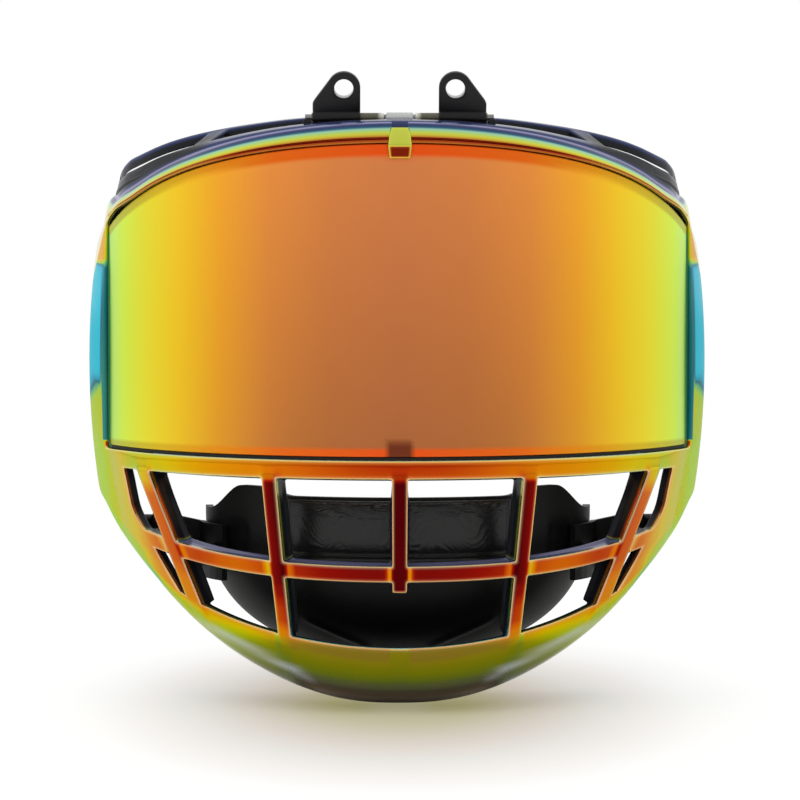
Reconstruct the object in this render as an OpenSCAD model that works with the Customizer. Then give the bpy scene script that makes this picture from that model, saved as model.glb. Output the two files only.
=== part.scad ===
/* [Wrap] */
// Outer radius of the frame round the face
wrap_r = 107; // [100:1:114]
// How far the cheeks run back behind the centre of the wrap
leg_back = 28; // [18:1:40]
// Height of the cheeks' rear edge
leg_edge_h = 46; // [34:1:60]

/* [Heights above the lowest point of the wrap] */
// Underside of the lower rail
rail_z = 74; // [70:0.5:78]
// Height of the lower rail
rail_h = 6; // [4:0.5:8]
// Top edge of the lens at the centre
lens_top_z = 181.4; // [172:0.5:190]
// Height of the brow rail at the centre
brow_h = 6.6; // [5:0.2:9]
// Height of the rear lip of the brow flange at the centre
lip_z = 191; // [190:0.2:193]
// Middle of the cross bar at the centre
cross_z = 42.8; // [40:0.2:46]
// Top of the chin band at the centre
band_top_z = 18.2; // [15:0.2:22]
// Lower edge of the chin band at the centre
chin_z = -4; // [-8:0.5:0]
// Lower end of the centre bar
centre_bar_end_z = 36.8; // [33:0.2:38]

/* [Walls] */
// Thickness of the cheeks and the chin band
wall = 3.9; // [3:0.1:5]
// Depth of the grille bars
bar_depth = 6; // [5:0.1:8]
// How far each bar widens towards its back, on each side
bar_flare = 1; // [0:0.1:1.5]
// How far the rails stand behind their front face
rail_depth = 7.5; // [6.5:0.1:9]
// How far the lens ledge reaches into the lens opening
ledge_w = 4; // [2:0.1:6]
// Thickness of the brow flange
flange_t = 3; // [2:0.1:4]
// Depth of the brow flange from front to rear at the centre
flange_w = 22; // [20:0.5:26]

/* [Bars] */
// Width of the centre bar, the inner bars and the cross bar
bar_w = 5.2; // [4:0.1:7]
// Width of the outer bars
outer_bar_w = 6.6; // [5:0.1:8]
// Angle of the inner bars round the wrap
inner_bar_a = 23.4; // [20:0.2:27]
// Angle of the outer bars where they leave the lower rail
outer_bar_a = 53; // [50:0.2:55]
// How far the outer bars swing inwards for each millimetre of height
outer_bar_swing = 0.2; // [0.1:0.01:0.22]

/* [Lens] */
// Half of the angle that the lens opening spans
lens_a = 66; // [62:0.5:68]
// Thickness of the lens
lens_t = 2.2; // [1.8:0.1:2.4]
// How far the lens lies behind the rails' front face
lens_inset = 1.5; // [1:0.1:2]
// Width of the gasket between the lens edge and the frame
gasket_w = 1.1; // [0.8:0.1:2]
// Width of the lens latch
latch_w = 8; // [7:0.5:12]
// How far the lens latch reaches down over the lens
latch_hook = 5; // [4:0.1:6]
// How far the lens latch stands proud of the brow rail
latch_proud = 2; // [1.5:0.1:2.5]

/* [Helmet clips] */
// Diameter of the hinge pins
pin_d = 2; // [1.6:0.1:2.4]
// Outer diameter of the clear sleeves
sleeve_d = 3; // [2.8:0.1:3.4]
// Thickness of the clip strap
strap_t = 1.15; // [0.8:0.05:1.2]
// Width of each clip
clip_w = 15.4; // [13:0.2:17]
// Distance of each clip's inner edge from the centre
clip_x = 12.6; // [11:0.2:14]
// Diameter of the helmet screw hole
hole_d = 6.1; // [4.5:0.1:6.5]
// Radius of each clip's round top about the screw hole
clip_top_r = 5.3; // [5:0.1:6]
// Distance from the pin up to the screw hole
hole_up = 10.1; // [9.5:0.1:12]
// Forward lean of the clips
clip_lean = 20; // [0:1:30]
// Distance of the pins behind the front of the wrap
pin_back = 16.5; // [16:0.1:17]
// How far the pins lie below the top of the brow flange's rear lip
pin_drop = 1.1; // [0.8:0.1:1.4]

/* [Chin cup] */
// How far the cup's wings stay inside the wrap on each side
cup_side = 41.7; // [38:0.1:50]
// Depth of the cup from its wings to its front
cup_d = 50; // [44:1:52]
// Depth of the bowl below its widest height
cup_h = 52; // [48:1:54]
// Height of the widest part of the bowl
cup_z = 60; // [56:0.5:62]
// Distance of the cup's open back behind the front of the wrap
cup_back = 72; // [70:1:78]
// Thickness of the cup's wall
cup_t = 2.5; // [2:0.1:3]
// Thickness of the vinyl pad on the front of the cup
pad_t = 3; // [2:0.1:3.5]
// Thickness of the foam liner inside the cup
liner_t = 6; // [4:0.5:10]
// Thickness of the arms
arm_t = 2; // [1.5:0.1:2.5]
// Height of the arms
arm_h = 8; // [7.5:0.5:10]
// How far the cup slides forward
cup_travel = 5; // [4:0.5:6]
// Diameter of the arm screws
arm_screw_d = 3; // [2.5:0.1:3.5]

/* [Hidden] */

// Column angles from the centre outwards
centre_edge = bar_half(bar_w, wrap_r);
slot_start = bar_half(latch_w + 2.4, wrap_r - rail_depth);
inner_in = inner_bar_a - bar_half(bar_w, wrap_r);
inner_out = inner_bar_a + bar_half(bar_w, wrap_r);
outer_in = outer_bar_a - bar_half(outer_bar_w, wrap_r);
outer_out = outer_bar_a + bar_half(outer_bar_w, wrap_r);
cheek_a = lens_a - 5.5;
grille_end_a = 60;
wrap_end_a = 90;
ledge_a = lens_a - ledge_w / wrap_r * 57.3;
COLS = concat(
    [centre_edge],
    steps(slot_start, inner_in, 5),
    steps(inner_out, outer_in, 6),
    [outer_out, cheek_a, ledge_a],
    steps(lens_a, wrap_end_a, 5),
    [wrap_end_a, wrap_end_a, wrap_end_a]);
N_COL = len(COLS);
FADE_A = COLS[N_COL - 6];

// Heights, depths and turns of the grid that the frame is built on
rail_top = rail_z + rail_h;
roll_turn = 80;
ROLL = [1, 0.75, 0.5, 0.25, 0];
N_ROW = 22;

function bar_half(w, r) = w / 2 / r * 180 / PI;
function steps(a, b, n) = [for (i = [0:n]) a + (b - a) * i / n];
function clamp(t) = min(1, max(0, t));
function smooth(t) = let (u = clamp(t)) u * u * (3 - 2 * u);
function mix(a, b, t) = a + (b - a) * t;

// Depth behind the front of the wrap at an angle round it, for the middle size that the lines are drawn on
line_r = 107;
function behind(a) = line_r * (1 - cos(a));

// Lines across the frame, each as a height at an angle round the wrap: the fall from the centre is a
// straight part and a squared part of the depth
function lens_top(a) = lens_top_z - 0.27 * behind(a) - 0.0021 * pow(behind(a), 2);
function lip_top(a) = lip_z - 0.08 * behind(a) - 0.0032 * pow(behind(a), 2);
corner_a = 62;
function brow_top(a) = mix(lens_top_z + brow_h - 0.36 * behind(a) - 0.0009 * pow(behind(a), 2),
    lip_top(a) - 1.5, smooth((a - corner_a) / 12));
cross_rise = 21.4;
function cross_mid(a) = cross_z + cross_rise * pow(1 - cos(a), 1.2);
// The jaw line curves up under the chin, runs straight to the cheeks and flattens on them
jaw_bend = 45.6;
jaw_end = 80;
function jaw(a) = let (d = behind(a))
    chin_z + 0.15 * pow(min(d, jaw_bend), 1.45)
        + 0.75 * max(0, min(d, jaw_end) - jaw_bend) + 0.25 * max(0, d - jaw_end);
function band_top(a) = max(band_top_z + 45 * (1 - cos(a)), jaw(a) + 5);

// Height of each grid row, where the grille ends as the angle reaches grille_end_a
function low_row(j, a) =
    let (e = jaw(a), b = band_top(a), k = 0.72 * (b - e), m = cross_mid(a), turn = roll_turn * cos(a))
    j < 5 ? e + k * (1 - sin(turn * ROLL[j]) / sin(turn)) :
    j == 5 ? b :
    j == 6 ? mix(b, m - bar_w / 2, 0.45) :
    j == 7 ? mix(b, m - bar_w / 2, (centre_bar_end_z - band_top_z) / (cross_z - bar_w / 2 - band_top_z)) :
    j == 8 ? m - bar_w / 2 :
    j == 9 ? m + bar_w / 2 :
    j == 10 ? mix(m + bar_w / 2, rail_z, 0.33) :
    j == 11 ? mix(m + bar_w / 2, rail_z, 0.67) : rail_z;
function high_row(j, a) =
    j == 12 ? rail_z :
    j == 13 ? rail_top :
    j == 14 ? rail_top + ledge_w :
    j < 18 ? mix(rail_top + ledge_w, lens_top(a) - ledge_w, (j - 14) / 4) :
    j == 18 ? lens_top(a) - ledge_w :
    j == 19 ? lens_top(a) :
    j == 20 ? brow_top(a) - flange_t : brow_top(a);
function squeezed_row(j, a) = a <= grille_end_a ? low_row(j, a) :
    let (low = jaw(grille_end_a))
    mix(jaw(a), rail_z, (low_row(j, grille_end_a) - low) / (rail_z - low));
function wrap_row(j, a) = j < 12 ? squeezed_row(j, a) : high_row(j, a);

// On the cheeks behind the wrap the rows close up towards the rear edge
LEG = [0, 0.4, 0.6, 1];
leg_rise = 3;
function leg_share(h) = LEG[max(0, h - (N_COL - 4))];
function leg_row(j, h) =
    let (
        t = leg_share(h),
        low = jaw(wrap_end_a),
        high = brow_top(wrap_end_a),
        mid = (low + high) / 2 + leg_rise,
        new_low = mix(low, mid - leg_edge_h / 2, t),
        new_high = mix(high, mid + leg_edge_h / 2, t))
    new_low + (wrap_row(j, wrap_end_a) - low) * (new_high - new_low) / (high - low);
function row_z(j, h, a) = leg_share(h) > 0 ? leg_row(j, h) : wrap_row(j, a);

// Angle of a grid column at a height, where the outer bars and the cheeks' front edge lean
function swing(z) = outer_bar_swing * min(max(0, rail_z - z), 52);
cheek_turn_z = 60;
function cheek_edge(z) = max(cheek_a - 0.5 * max(0, cheek_turn_z - z), outer_out - swing(z) + 1);
function col_a(h, z) =
    h < 8 ? COLS[h] :
    h < 14 ? COLS[h] - swing(z) * (h - 7) / 6 :
    h == 14 ? COLS[h] - swing(z) :
    COLS[h] < FADE_A ? COLS[h] - (cheek_a - cheek_edge(z)) * (FADE_A - COLS[h]) / (FADE_A - cheek_a) :
    COLS[h];

// Outer radius at a height and an angle, without the roll under the chin
function lean_r(z) = wrap_r - 19 * pow(max(0, rail_top - z) / 82, 1.1);
side_mid_z = 108;
function side_r(z) = wrap_r + 0.2 - 0.0017 * pow(z - side_mid_z, 2);
side_from_a = 60;
function outer_r(z, a) = mix(lean_r(z), side_r(z), smooth((a - side_from_a) / 20));

// Depth of each layer behind the outer face: towards the sides the brow flange narrows and steepens
function lip_share(a) = 1 - 0.8 * smooth((a - 30) / 45);
squeeze_from_a = 28;
squeeze_to_a = 76;
function lip_squeeze(j, a) = j < 20 ? 1 :
    1 - 0.55 * (smooth((a - squeeze_from_a) / 34) - smooth((a - squeeze_to_a) / 9));
function layer(k, j, a) =
    let (back = j < 12 ? bar_depth : rail_depth, room = (flange_w - rail_depth) * lip_share(a))
    lip_squeeze(j, a) * [0, lens_inset, wall, back, back + 0.08 * room, back + 0.83 * room, back + room][k];
function lip_rise(k, j, a) = j < 20 || k < 1 ? 0 :
    (lip_top(a) - brow_top(a)) * layer(k, j, a) / layer(6, j, a);

// Bars are wider at the back: their edge columns and rows shift there
function flare_a(k, j, h) = (k != 3 || j < 6 || j > 11) ? 0 :
    bar_half(2 * bar_flare, wrap_r) * (h == 0 || h == 7 || h == 14 ? 1 : h == 6 || h == 13 ? -1 : 0);
function flare_z(k, j, h) = (k != 3 || h > 14) ? 0 :
    bar_flare * (j == 9 || j == 5 ? 1 : j == 8 || j == 12 ? -1 : 0);

// A grid point: layer k, row j and half column h on one side of the face
function grid_point(k, j, h, side) =
    let (
        a1 = col_a(h, row_z(j, h, COLS[h])),
        a2 = col_a(h, row_z(j, h, a1)),
        z = row_z(j, h, a2),
        a = a2 + flare_a(k, j, h),
        turn = j < 5 ? roll_turn * cos(a2) * ROLL[j] : 0,
        drop = 0.72 * (band_top(a2) - jaw(a2)),
        tuck = j < 5 && a2 < 89 ? drop * tan(roll_turn * cos(a2) / 2) * (1 + pow(cos(a2), 2))
            * (1 - cos(turn)) / (1 - cos(roll_turn * cos(a2))) : 0,
        d = layer(k, j, a2),
        r = outer_r(z, a2) - tuck - d * cos(turn))
    [side * r * sin(a),
     leg_share(h) * leg_back - r * cos(a),
     z + d * sin(turn) + lip_rise(k, j, a2) + flare_z(k, j, h)];

// Which cells of the grid are solid: c counts cells outwards from the centre
main_slot = [2, 10];
vent_slot = [12, 17];
strap_cell = N_COL - 2;
function within(c, range) = c >= range[0] && c <= range[1];
function is_bar(c) = c == 7 || c == 14;
function solid_cell(k, j, c) =
    c == strap_cell && j > 14 && j < 18 ? false :
    (k > 2 && (j != 20 || c > 20)) ? false :
    j < 5 ? k < 2 :
    j < 7 ? (is_bar(c) ? k < 3 : c > 15 && k < 2) :
    j == 7 ? (is_bar(c) || c == 0 ? k < 3 : c > 15 && k < 2) :
    j == 8 ? (c < 16 ? k < 3 : k < 2) :
    j < 12 ? (is_bar(c) || c == 0 ? k < 3 : c > 15 && k < 2) :
    j == 12 ? (c < 19 ? k < 3 : k < 2) :
    j == 13 || j == 18 ? (c < 18 ? k == 2 : c == 18 ? k < 3 : k < 2) :
    j < 18 ? (c == 17 ? k == 2 : c == 18 ? k < 3 : c > 18 && k < 2) :
    j == 19 ? (c == 0 && k == 0 ? false : c < 19 ? k < 3 : k < 2) :
    c == 0 && k == 0 ? false :
    c > 20 ? k < 2 :
    k == 4 ? !(within(c, main_slot) || within(c, vent_slot)) : true;

// Column line i runs from the rear of the left cheek to the rear of the right one
function half_of(i) = i < N_COL ? N_COL - 1 - i : i - N_COL;
function side_of(i) = i < N_COL ? -1 : 1;
function cell_of(i) = i < N_COL - 1 ? N_COL - 1 - i : i - N_COL + 1;
function index(k, j, i) = (i * N_ROW + j) * 7 + k;
function in_grid(k, j, i) = k >= 0 && k < 6 && j >= 0 && j < N_ROW - 1 && i >= 0 && i < 2 * N_COL - 1;
function filled(k, j, i) = in_grid(k, j, i) && solid_cell(k, j, cell_of(i));
function quad(a, b, c, d) = [[a, b, c], [a, c, d]];
// A cell has a face wherever the next cell is empty
function cell_faces(k, j, i) = !filled(k, j, i) ? [] :
    let (p = [for (n = [0:7]) index(k + n % 2, j + floor(n / 2) % 2, i + floor(n / 4))])
    concat(
        filled(k - 1, j, i) ? [] : quad(p[0], p[2], p[6], p[4]),
        filled(k + 1, j, i) ? [] : quad(p[1], p[5], p[7], p[3]),
        filled(k, j - 1, i) ? [] : quad(p[0], p[4], p[5], p[1]),
        filled(k, j + 1, i) ? [] : quad(p[2], p[3], p[7], p[6]),
        filled(k, j, i - 1) ? [] : quad(p[0], p[1], p[3], p[2]),
        filled(k, j, i + 1) ? [] : quad(p[4], p[6], p[7], p[5]));

module frame_shell() {
    points = [for (i = [0:2 * N_COL - 1]) for (j = [0:N_ROW - 1]) for (k = [0:6])
        grid_point(k, j, half_of(i), side_of(i))];
    faces = [for (i = [0:2 * N_COL - 2]) for (j = [0:N_ROW - 2]) for (k = [0:5])
        each cell_faces(k, j, i)];
    polyhedron(points, faces);
}

// Places that several pieces share
gap = 0.3;
running = 0.04;
pin_y = pin_back - wrap_r;
pin_z = lip_z - pin_drop;
bridge_w = latch_w + 0.6;
sleeve_in = latch_w / 2 + 1.1;
sleeve_out = clip_x + clip_w + 0.3;
ear_w = 2.4;
ear_x = sleeve_out + gap;
seat_top = 1.6;
pin_half = 1;
hole_y = pin_y - hole_up * sin(clip_lean);
hole_z = pin_z + hole_up * cos(clip_lean);
hole_x = clip_x + clip_top_r;
cup_w = wrap_r - cup_side;
cup_y = cup_back - wrap_r;
boss_y = cup_y - 3;
boss_wall_r = wrap_r - 9;
boss_r = 3.2;
boss_z = jaw(acos(-boss_y / boss_wall_r)) + boss_r + 1.8;
boss_t = 9;
boss_face = sqrt(pow(boss_wall_r, 2) - pow(boss_y, 2)) + 1.7 - boss_t;
screw_depth = 7.4;
arm_x = boss_face - 0.2 - arm_t / 2;

// The part's origin is midway between the two helmet screw holes
module placed() translate([0, -hole_y, -hole_z]) children();
module both_sides() {
    children();
    mirror([1, 0, 0]) children();
}
module along_x(x0, x1, d) translate([x0, 0, 0]) rotate([0, 90, 0]) cylinder(h = x1 - x0, d = d, $fn = 48);

// A bridge and two snap cradles on the brow flange hold the ends of the hinge pins
module pin_seats() {
    translate([-bridge_w / 2, pin_y - 3, pin_z - 3.2]) cube([bridge_w, 6, 3.2 + seat_top]);
    both_sides() translate([ear_x, pin_y - 4, pin_z - 5.5]) cube([ear_w, 6.6, 5.5 + pin_d * 0.2]);
}
module pin_bores() translate([0, pin_y, pin_z]) {
    both_sides() along_x(pin_half, ear_x + ear_w - 0.6, pin_d);
}
module arm_bosses() both_sides() translate([0, boss_y, boss_z])
    along_x(boss_face, boss_face + boss_t, 2 * boss_r);
module screw_bores() both_sides() translate([0, boss_y, boss_z])
    along_x(boss_face - 1, boss_face + screw_depth, arm_screw_d);

module face_frame() color("orange") placed() {
    difference() {
        union() {
            frame_shell();
            pin_seats();
            arm_bosses();
        }
        pin_bores();
        screw_bores();
    }
}

// The lens: a bent sheet cut to the opening
lens_r = wrap_r - lens_inset;
lens_low = rail_top + gasket_w;
lens_edge = gasket_w / wrap_r * 57.3;
module bent_sheet(r_out, t, half_a, z0, z1)
    rotate([0, 0, -90 - half_a])
        rotate_extrude(angle = 2 * half_a, $fn = 180)
            translate([r_out - t, z0]) square([t, z1 - z0]);
module below_brow(r, drop)
    rotate([90, 0, 90])
        translate([0, 0, -wrap_r]) linear_extrude(2 * wrap_r)
            polygon(concat(
                [[0, 0], [-wrap_r - 5, 0], [-wrap_r - 5, lens_top(0) - drop]],
                [for (a = [0:6:lens_a]) [-r * cos(a), lens_top(a) - drop]],
                [[0, lens_top(lens_a + 12) - drop]]));
module lens() color([0.9, 0.5, 0.2]) placed() intersection() {
    bent_sheet(lens_r, lens_t, lens_a - lens_edge, lens_low, lens_top_z);
    below_brow(lens_r - lens_t / 2, gap);
}
module lens_gasket() color([0.08, 0.08, 0.08]) placed() difference() {
    intersection() {
        bent_sheet(lens_r + 0.3, lens_t + 0.3, lens_a - 0.05, rail_top + 0.02, lens_top_z);
        below_brow(lens_r - lens_t / 2, gap + 0.5);
    }
    bent_sheet(lens_r + 2, lens_t + 4, lens_a - lens_edge + 0.02, lens_low - 0.02, lens_top_z + 20);
}

// The latch: a block with a tongue that slides in the brow rail's groove and hooks over the lens
module lens_latch() color([0.7, 0.8, 0.2]) placed() {
    top = lens_top_z + brow_h - 1;
    low = lens_top_z - latch_hook;
    front = -wrap_r - latch_proud;
    rotate([90, 0, 90]) translate([0, 0, -latch_w / 2]) linear_extrude(latch_w)
        polygon([[front, top], [front, low + 3.4], [front + 1.2, low],
            [-wrap_r - 0.2, low], [-wrap_r - 0.2, top]]);
    translate([-bar_w / 2 + gap, -wrap_r - 0.3, low + 0.3])
        cube([bar_w - 2 * gap, 0.3 + lens_inset - gap, top - low - 0.6]);
}

// The hinge pins, their clear sleeves and the folded clips
module hinge_pin() color([0.6, 0.6, 0.62]) placed() translate([0, pin_y, pin_z])
    along_x(pin_half, ear_x + ear_w - 0.6, pin_d);
module pin_sleeve() color([0.8, 0.8, 0.7, 0.6]) placed() translate([0, pin_y, pin_z])
    difference() {
        along_x(sleeve_in, sleeve_out, sleeve_d);
        along_x(sleeve_in - 1, sleeve_out + 1, pin_d + 2 * running);
    }
strap_r = sleeve_d / 2 + running + strap_t;
module helmet_clip() color([0.07, 0.07, 0.07]) placed() translate([0, pin_y, pin_z])
    rotate([clip_lean, 0, 0]) difference() {
        union() {
            along_x(clip_x, clip_x + clip_w, 2 * strap_r);
            translate([0, strap_t, 0]) rotate([90, 0, 0]) linear_extrude(2 * strap_t) clip_outline();
        }
        along_x(clip_x - 1, clip_x + clip_w + 1, sleeve_d + 2 * running);
        translate([hole_x, -5, hole_up]) rotate([-90, 0, 0]) cylinder(h = 10, d = hole_d, $fn = 64);
    }
module clip_outline() {
    shoulder = clip_x + clip_w - 0.4;
    translate([hole_x, hole_up]) circle(r = clip_top_r, $fn = 64);
    polygon([[clip_x, 0], [clip_x, hole_up], [hole_x - 2, hole_up + clip_top_r * 0.9],
        [hole_x + clip_top_r * sin(50), hole_up + clip_top_r * cos(50)],
        [shoulder, 5.4], [shoulder, 0]]);
}

// The chin cup: half a bowl with raised wings, open at the back and at the foot. Each arm's tab lies on the
// wing from tab_start_a to tab_end_a
tab_start_a = 82;
tab_end_a = 60;
CUP_A = steps(-90, 90, 20);
CUP_V = steps(0, 1, 10);
foot_turn = 75;
fullness = 0.76;
taper = 0.98;
rim_share = 0.2;
// The rim rises to a peak on each wing and falls again at the wing's end
wing_x = 35;
wing_end_x = 52;
function rim_z(a) = let (x = abs(cup_w * sin(a)))
    cup_z + 6.5 + 2.8 * smooth((x - wing_x) / 12) - 9 * smooth((x - wing_end_x) / 12);
function cup_point(a, v, off) =
    let (
        turn = max(0, v - rim_share) / (1 - rim_share) * foot_turn,
        lift = max(0, rim_share - v) / rim_share,
        c = pow(cos(turn), taper),
        s = pow(sin(turn), fullness))
    [(cup_w - off) * sin(a) * c,
     cup_y - (cup_d - off) * cos(a) * c,
     cup_z + (rim_z(a) - cup_z) * lift - (cup_h - off) * s];

// A closed sheet from two grids of points of the same size, outer one first
module sheet(outer, inner) {
    nu = len(outer);
    nv = len(outer[0]);
    pts = concat([for (c = outer) each c], [for (c = inner) each c]);
    function id(s, u, v) = s * nu * nv + u * nv + v;
    faces = concat(
        [for (u = [0:nu - 2]) for (v = [0:nv - 2])
            each quad(id(0, u, v), id(0, u + 1, v), id(0, u + 1, v + 1), id(0, u, v + 1))],
        [for (u = [0:nu - 2]) for (v = [0:nv - 2])
            each quad(id(1, u, v), id(1, u, v + 1), id(1, u + 1, v + 1), id(1, u + 1, v))],
        [for (u = [0:nu - 2]) for (e = [0, nv - 1])
            each e == 0 ? quad(id(0, u, e), id(1, u, e), id(1, u + 1, e), id(0, u + 1, e))
                : quad(id(0, u, e), id(0, u + 1, e), id(1, u + 1, e), id(1, u, e))],
        [for (v = [0:nv - 2]) for (e = [0, nu - 1])
            each e == 0 ? quad(id(0, e, v), id(0, e, v + 1), id(1, e, v + 1), id(1, e, v))
                : quad(id(0, e, v), id(1, e, v), id(1, e, v + 1), id(0, e, v + 1))]);
    polyhedron(pts, faces);
}
module chin_cup() color([0.06, 0.06, 0.06]) placed() difference() {
    sheet([for (a = CUP_A) [for (v = CUP_V) cup_point(a, v, 0)]],
        [for (a = CUP_A) [for (v = CUP_V) cup_point(a, v, cup_t)]]);
    both_sides() rivet_places() cylinder(h = 20, d = rivet_d, center = true, $fn = 32);
}

// Padding on the front of the cup and inside it, thickest in the middle
function crown(u, v) = (1 - pow(abs(u), 4)) * (1 - pow(abs(v), 4));
PAD_U = steps(-1, 1, 20);
PAD_V = steps(-1, 1, 10);
pad_half_w = 36;
pad_half_a = asin(pad_half_w / cup_w);
liner_half_a = tab_end_a - 3;
function pad_point(u, v, off) = cup_point(u * pad_half_a, 0.17 + 0.14 * v, off);
function liner_point(u, v, off) = cup_point(u * liner_half_a, 0.48 + 0.42 * v, off);
module chin_pad() color([0.1, 0.1, 0.1]) placed() sheet(
    [for (u = PAD_U) [for (v = PAD_V) pad_point(u, v, -gap - pad_t * (0.4 + 0.6 * crown(u, v)))]],
    [for (u = PAD_U) [for (v = PAD_V) pad_point(u, v, -gap)]]);
module chin_liner() color([0.15, 0.15, 0.15]) placed() sheet(
    [for (u = PAD_U) [for (v = PAD_V) liner_point(u, v, cup_t + 2 * gap)]],
    [for (u = PAD_U) [for (v = PAD_V) liner_point(u, v, cup_t + 2 * gap + liner_t * (0.3 + 0.7 * crown(u, v)))]]);

// The arms run from the bosses on the cheeks to tabs that follow the cup's wings
tab_gap = 0.6;
tab_start = wing_xy(tab_start_a);
rivet_d = 3.2;
rivet_head_d = 6;
rivet_head_t = 1.2;
washer_d = 8;
arm_foot = 37;
tab_h = 18.5;
rivet_reach = 2.1;
arm_bend_y = boss_y - 5.6;
arm_path = concat([[arm_x, boss_y + cup_travel + 8], [arm_x, arm_bend_y]],
    [for (a = steps(tab_start_a, tab_end_a, 5)) wing_xy(a)]);
function wing_xy(a) = let (off = tab_gap + arm_t / 2)
    [(cup_w + off) * sin(a), cup_y - (cup_d + off) * cos(a)];
function unit(v) = v / norm(v);
function beside(path, i, s) =
    let (
        n = len(path),
        before = unit(path[max(i, 1)] - path[max(i, 1) - 1]),
        after = unit(path[min(i, n - 2) + 1] - path[min(i, n - 2)]),
        m = unit(before + after))
    path[i] + [-m[1], m[0]] * s / (m * before);
module arm_plan() polygon(concat(
    [for (i = [0:len(arm_path) - 1]) beside(arm_path, i, arm_t / 2)],
    [for (i = [len(arm_path) - 1:-1:0]) beside(arm_path, i, -arm_t / 2)]));
module arm_side() rotate([90, 0, 0]) linear_extrude(2 * wrap_r, center = true)
    polygon([[0, arm_foot], [tab_start[0], arm_foot], [arm_x - 2, boss_z - arm_h / 2],
        [wrap_r, boss_z - arm_h / 2], [wrap_r, boss_z + arm_h / 2],
        [arm_x - 4, boss_z + arm_h / 2], [tab_start[0], arm_foot + tab_h], [0, arm_foot + tab_h]]);
module arm_slot(d) {
    for (y = [0, cup_travel]) translate([0, y, 0]) along_x(arm_x - 5, arm_x + 5, d);
    translate([arm_x - 5, 0, -d / 2]) cube([10, cup_travel, d]);
}
module cup_arm() color([0.1, 0.1, 0.1]) placed() difference() {
    intersection() {
        linear_extrude(200) arm_plan();
        arm_side();
    }
    translate([0, boss_y, boss_z]) arm_slot(arm_screw_d + 2 * 0.15);
    rivet_places() cylinder(h = 20, d = rivet_d, center = true, $fn = 32);
}
module rivet_places() for (t = [0.22, 0.78]) {
    a = mix(tab_start_a, tab_end_a, t);
    p = wing_xy(a);
    turn = atan2(-cup_w * cos(a), cup_d * sin(a));
    translate([p[0], p[1], arm_foot + tab_h / 2]) rotate([0, 90, turn]) children();
}
module cup_rivets() color([0.5, 0.5, 0.5]) placed() both_sides() rivet_places() {
    inner = -arm_t / 2 - tab_gap - cup_t - rivet_reach;
    translate([0, 0, inner]) cylinder(h = arm_t / 2 - inner, d = rivet_d, $fn = 32);
    for (z = [inner - rivet_head_t, arm_t / 2])
        translate([0, 0, z]) cylinder(h = rivet_head_t, d = rivet_head_d, $fn = 32);
}
module arm_screws() color([0.45, 0.45, 0.47]) placed() both_sides() translate([0, boss_y, boss_z]) {
    along_x(arm_x - arm_t / 2 - 1, boss_face + screw_depth, arm_screw_d);
    along_x(arm_x - arm_t / 2 - 3.2, arm_x - arm_t / 2 - 1, 6.4);
}
module arm_washers() color([0.6, 0.6, 0.62]) placed() both_sides() translate([0, boss_y, boss_z])
    difference() {
        along_x(arm_x - arm_t / 2 - 1, arm_x - arm_t / 2 - 0.1, washer_d);
        along_x(arm_x - 10, arm_x + 10, arm_screw_d + 0.2);
    }

face_frame();
lens();
lens_gasket();
lens_latch();
mirror([1, 0, 0]) hinge_pin();  // left_hinge_pin
hinge_pin();  // right_hinge_pin
mirror([1, 0, 0]) pin_sleeve();  // left_pin_sleeve
pin_sleeve();  // right_pin_sleeve
mirror([1, 0, 0]) helmet_clip();  // left_helmet_clip
helmet_clip();  // right_helmet_clip
chin_cup();
chin_pad();
chin_liner();
mirror([1, 0, 0]) cup_arm();  // left_cup_arm
cup_arm();  // right_cup_arm
cup_rivets();
arm_screws();
arm_washers();
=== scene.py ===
import math
import bpy
import numpy as np
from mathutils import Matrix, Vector


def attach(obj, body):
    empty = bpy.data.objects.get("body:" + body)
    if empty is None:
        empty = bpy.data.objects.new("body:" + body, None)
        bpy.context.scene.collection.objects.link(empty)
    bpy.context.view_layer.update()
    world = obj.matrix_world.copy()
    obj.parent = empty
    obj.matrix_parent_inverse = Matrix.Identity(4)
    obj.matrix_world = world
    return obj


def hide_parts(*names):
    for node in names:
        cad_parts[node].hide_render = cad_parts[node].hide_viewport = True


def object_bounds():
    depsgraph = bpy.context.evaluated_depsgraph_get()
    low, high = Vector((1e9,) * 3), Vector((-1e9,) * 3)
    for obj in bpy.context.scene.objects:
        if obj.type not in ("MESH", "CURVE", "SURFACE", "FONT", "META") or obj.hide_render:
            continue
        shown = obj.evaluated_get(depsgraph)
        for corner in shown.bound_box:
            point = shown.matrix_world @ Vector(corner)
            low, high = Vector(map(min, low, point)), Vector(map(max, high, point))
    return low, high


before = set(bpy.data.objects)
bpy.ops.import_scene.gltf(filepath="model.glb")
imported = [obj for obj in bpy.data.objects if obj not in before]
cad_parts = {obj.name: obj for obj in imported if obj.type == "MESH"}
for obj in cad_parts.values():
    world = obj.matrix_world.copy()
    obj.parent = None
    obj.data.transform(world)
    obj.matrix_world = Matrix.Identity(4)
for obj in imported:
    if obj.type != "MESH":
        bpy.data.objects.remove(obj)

cad_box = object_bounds()

# Camera, light and floor
# The photograph is a front view from 1.2 m, 3 degrees above level and half a degree to the left, on a
# white table. Lengths in this file are in mm from the axis of the wrap, and placed() moves them to the frame.
AXIS = np.array([0.0, 93.9544, -199.3909])


def placed(points):
    """Points in mm from the wrap's axis, turned into metres in the part's own frame."""
    return (np.asarray(points, float) + AXIS) / 1000


def linear(hex_colour):
    """An sRGB hex colour as linear values with alpha: a straight part near black, then a power of 2.4."""
    value = int(hex_colour, 16)
    s = np.array([value >> 16, value >> 8 & 255, value & 255]) / 255
    return [float(c) for c in np.where(s <= 0.04045, s / 12.92, ((s + 0.055) / 1.055) ** 2.4)] + [1.0]


def socket_of(source):
    """A socket as it is, or a node's first output."""
    return source if isinstance(source, bpy.types.NodeSocket) else source.outputs[0]


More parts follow.
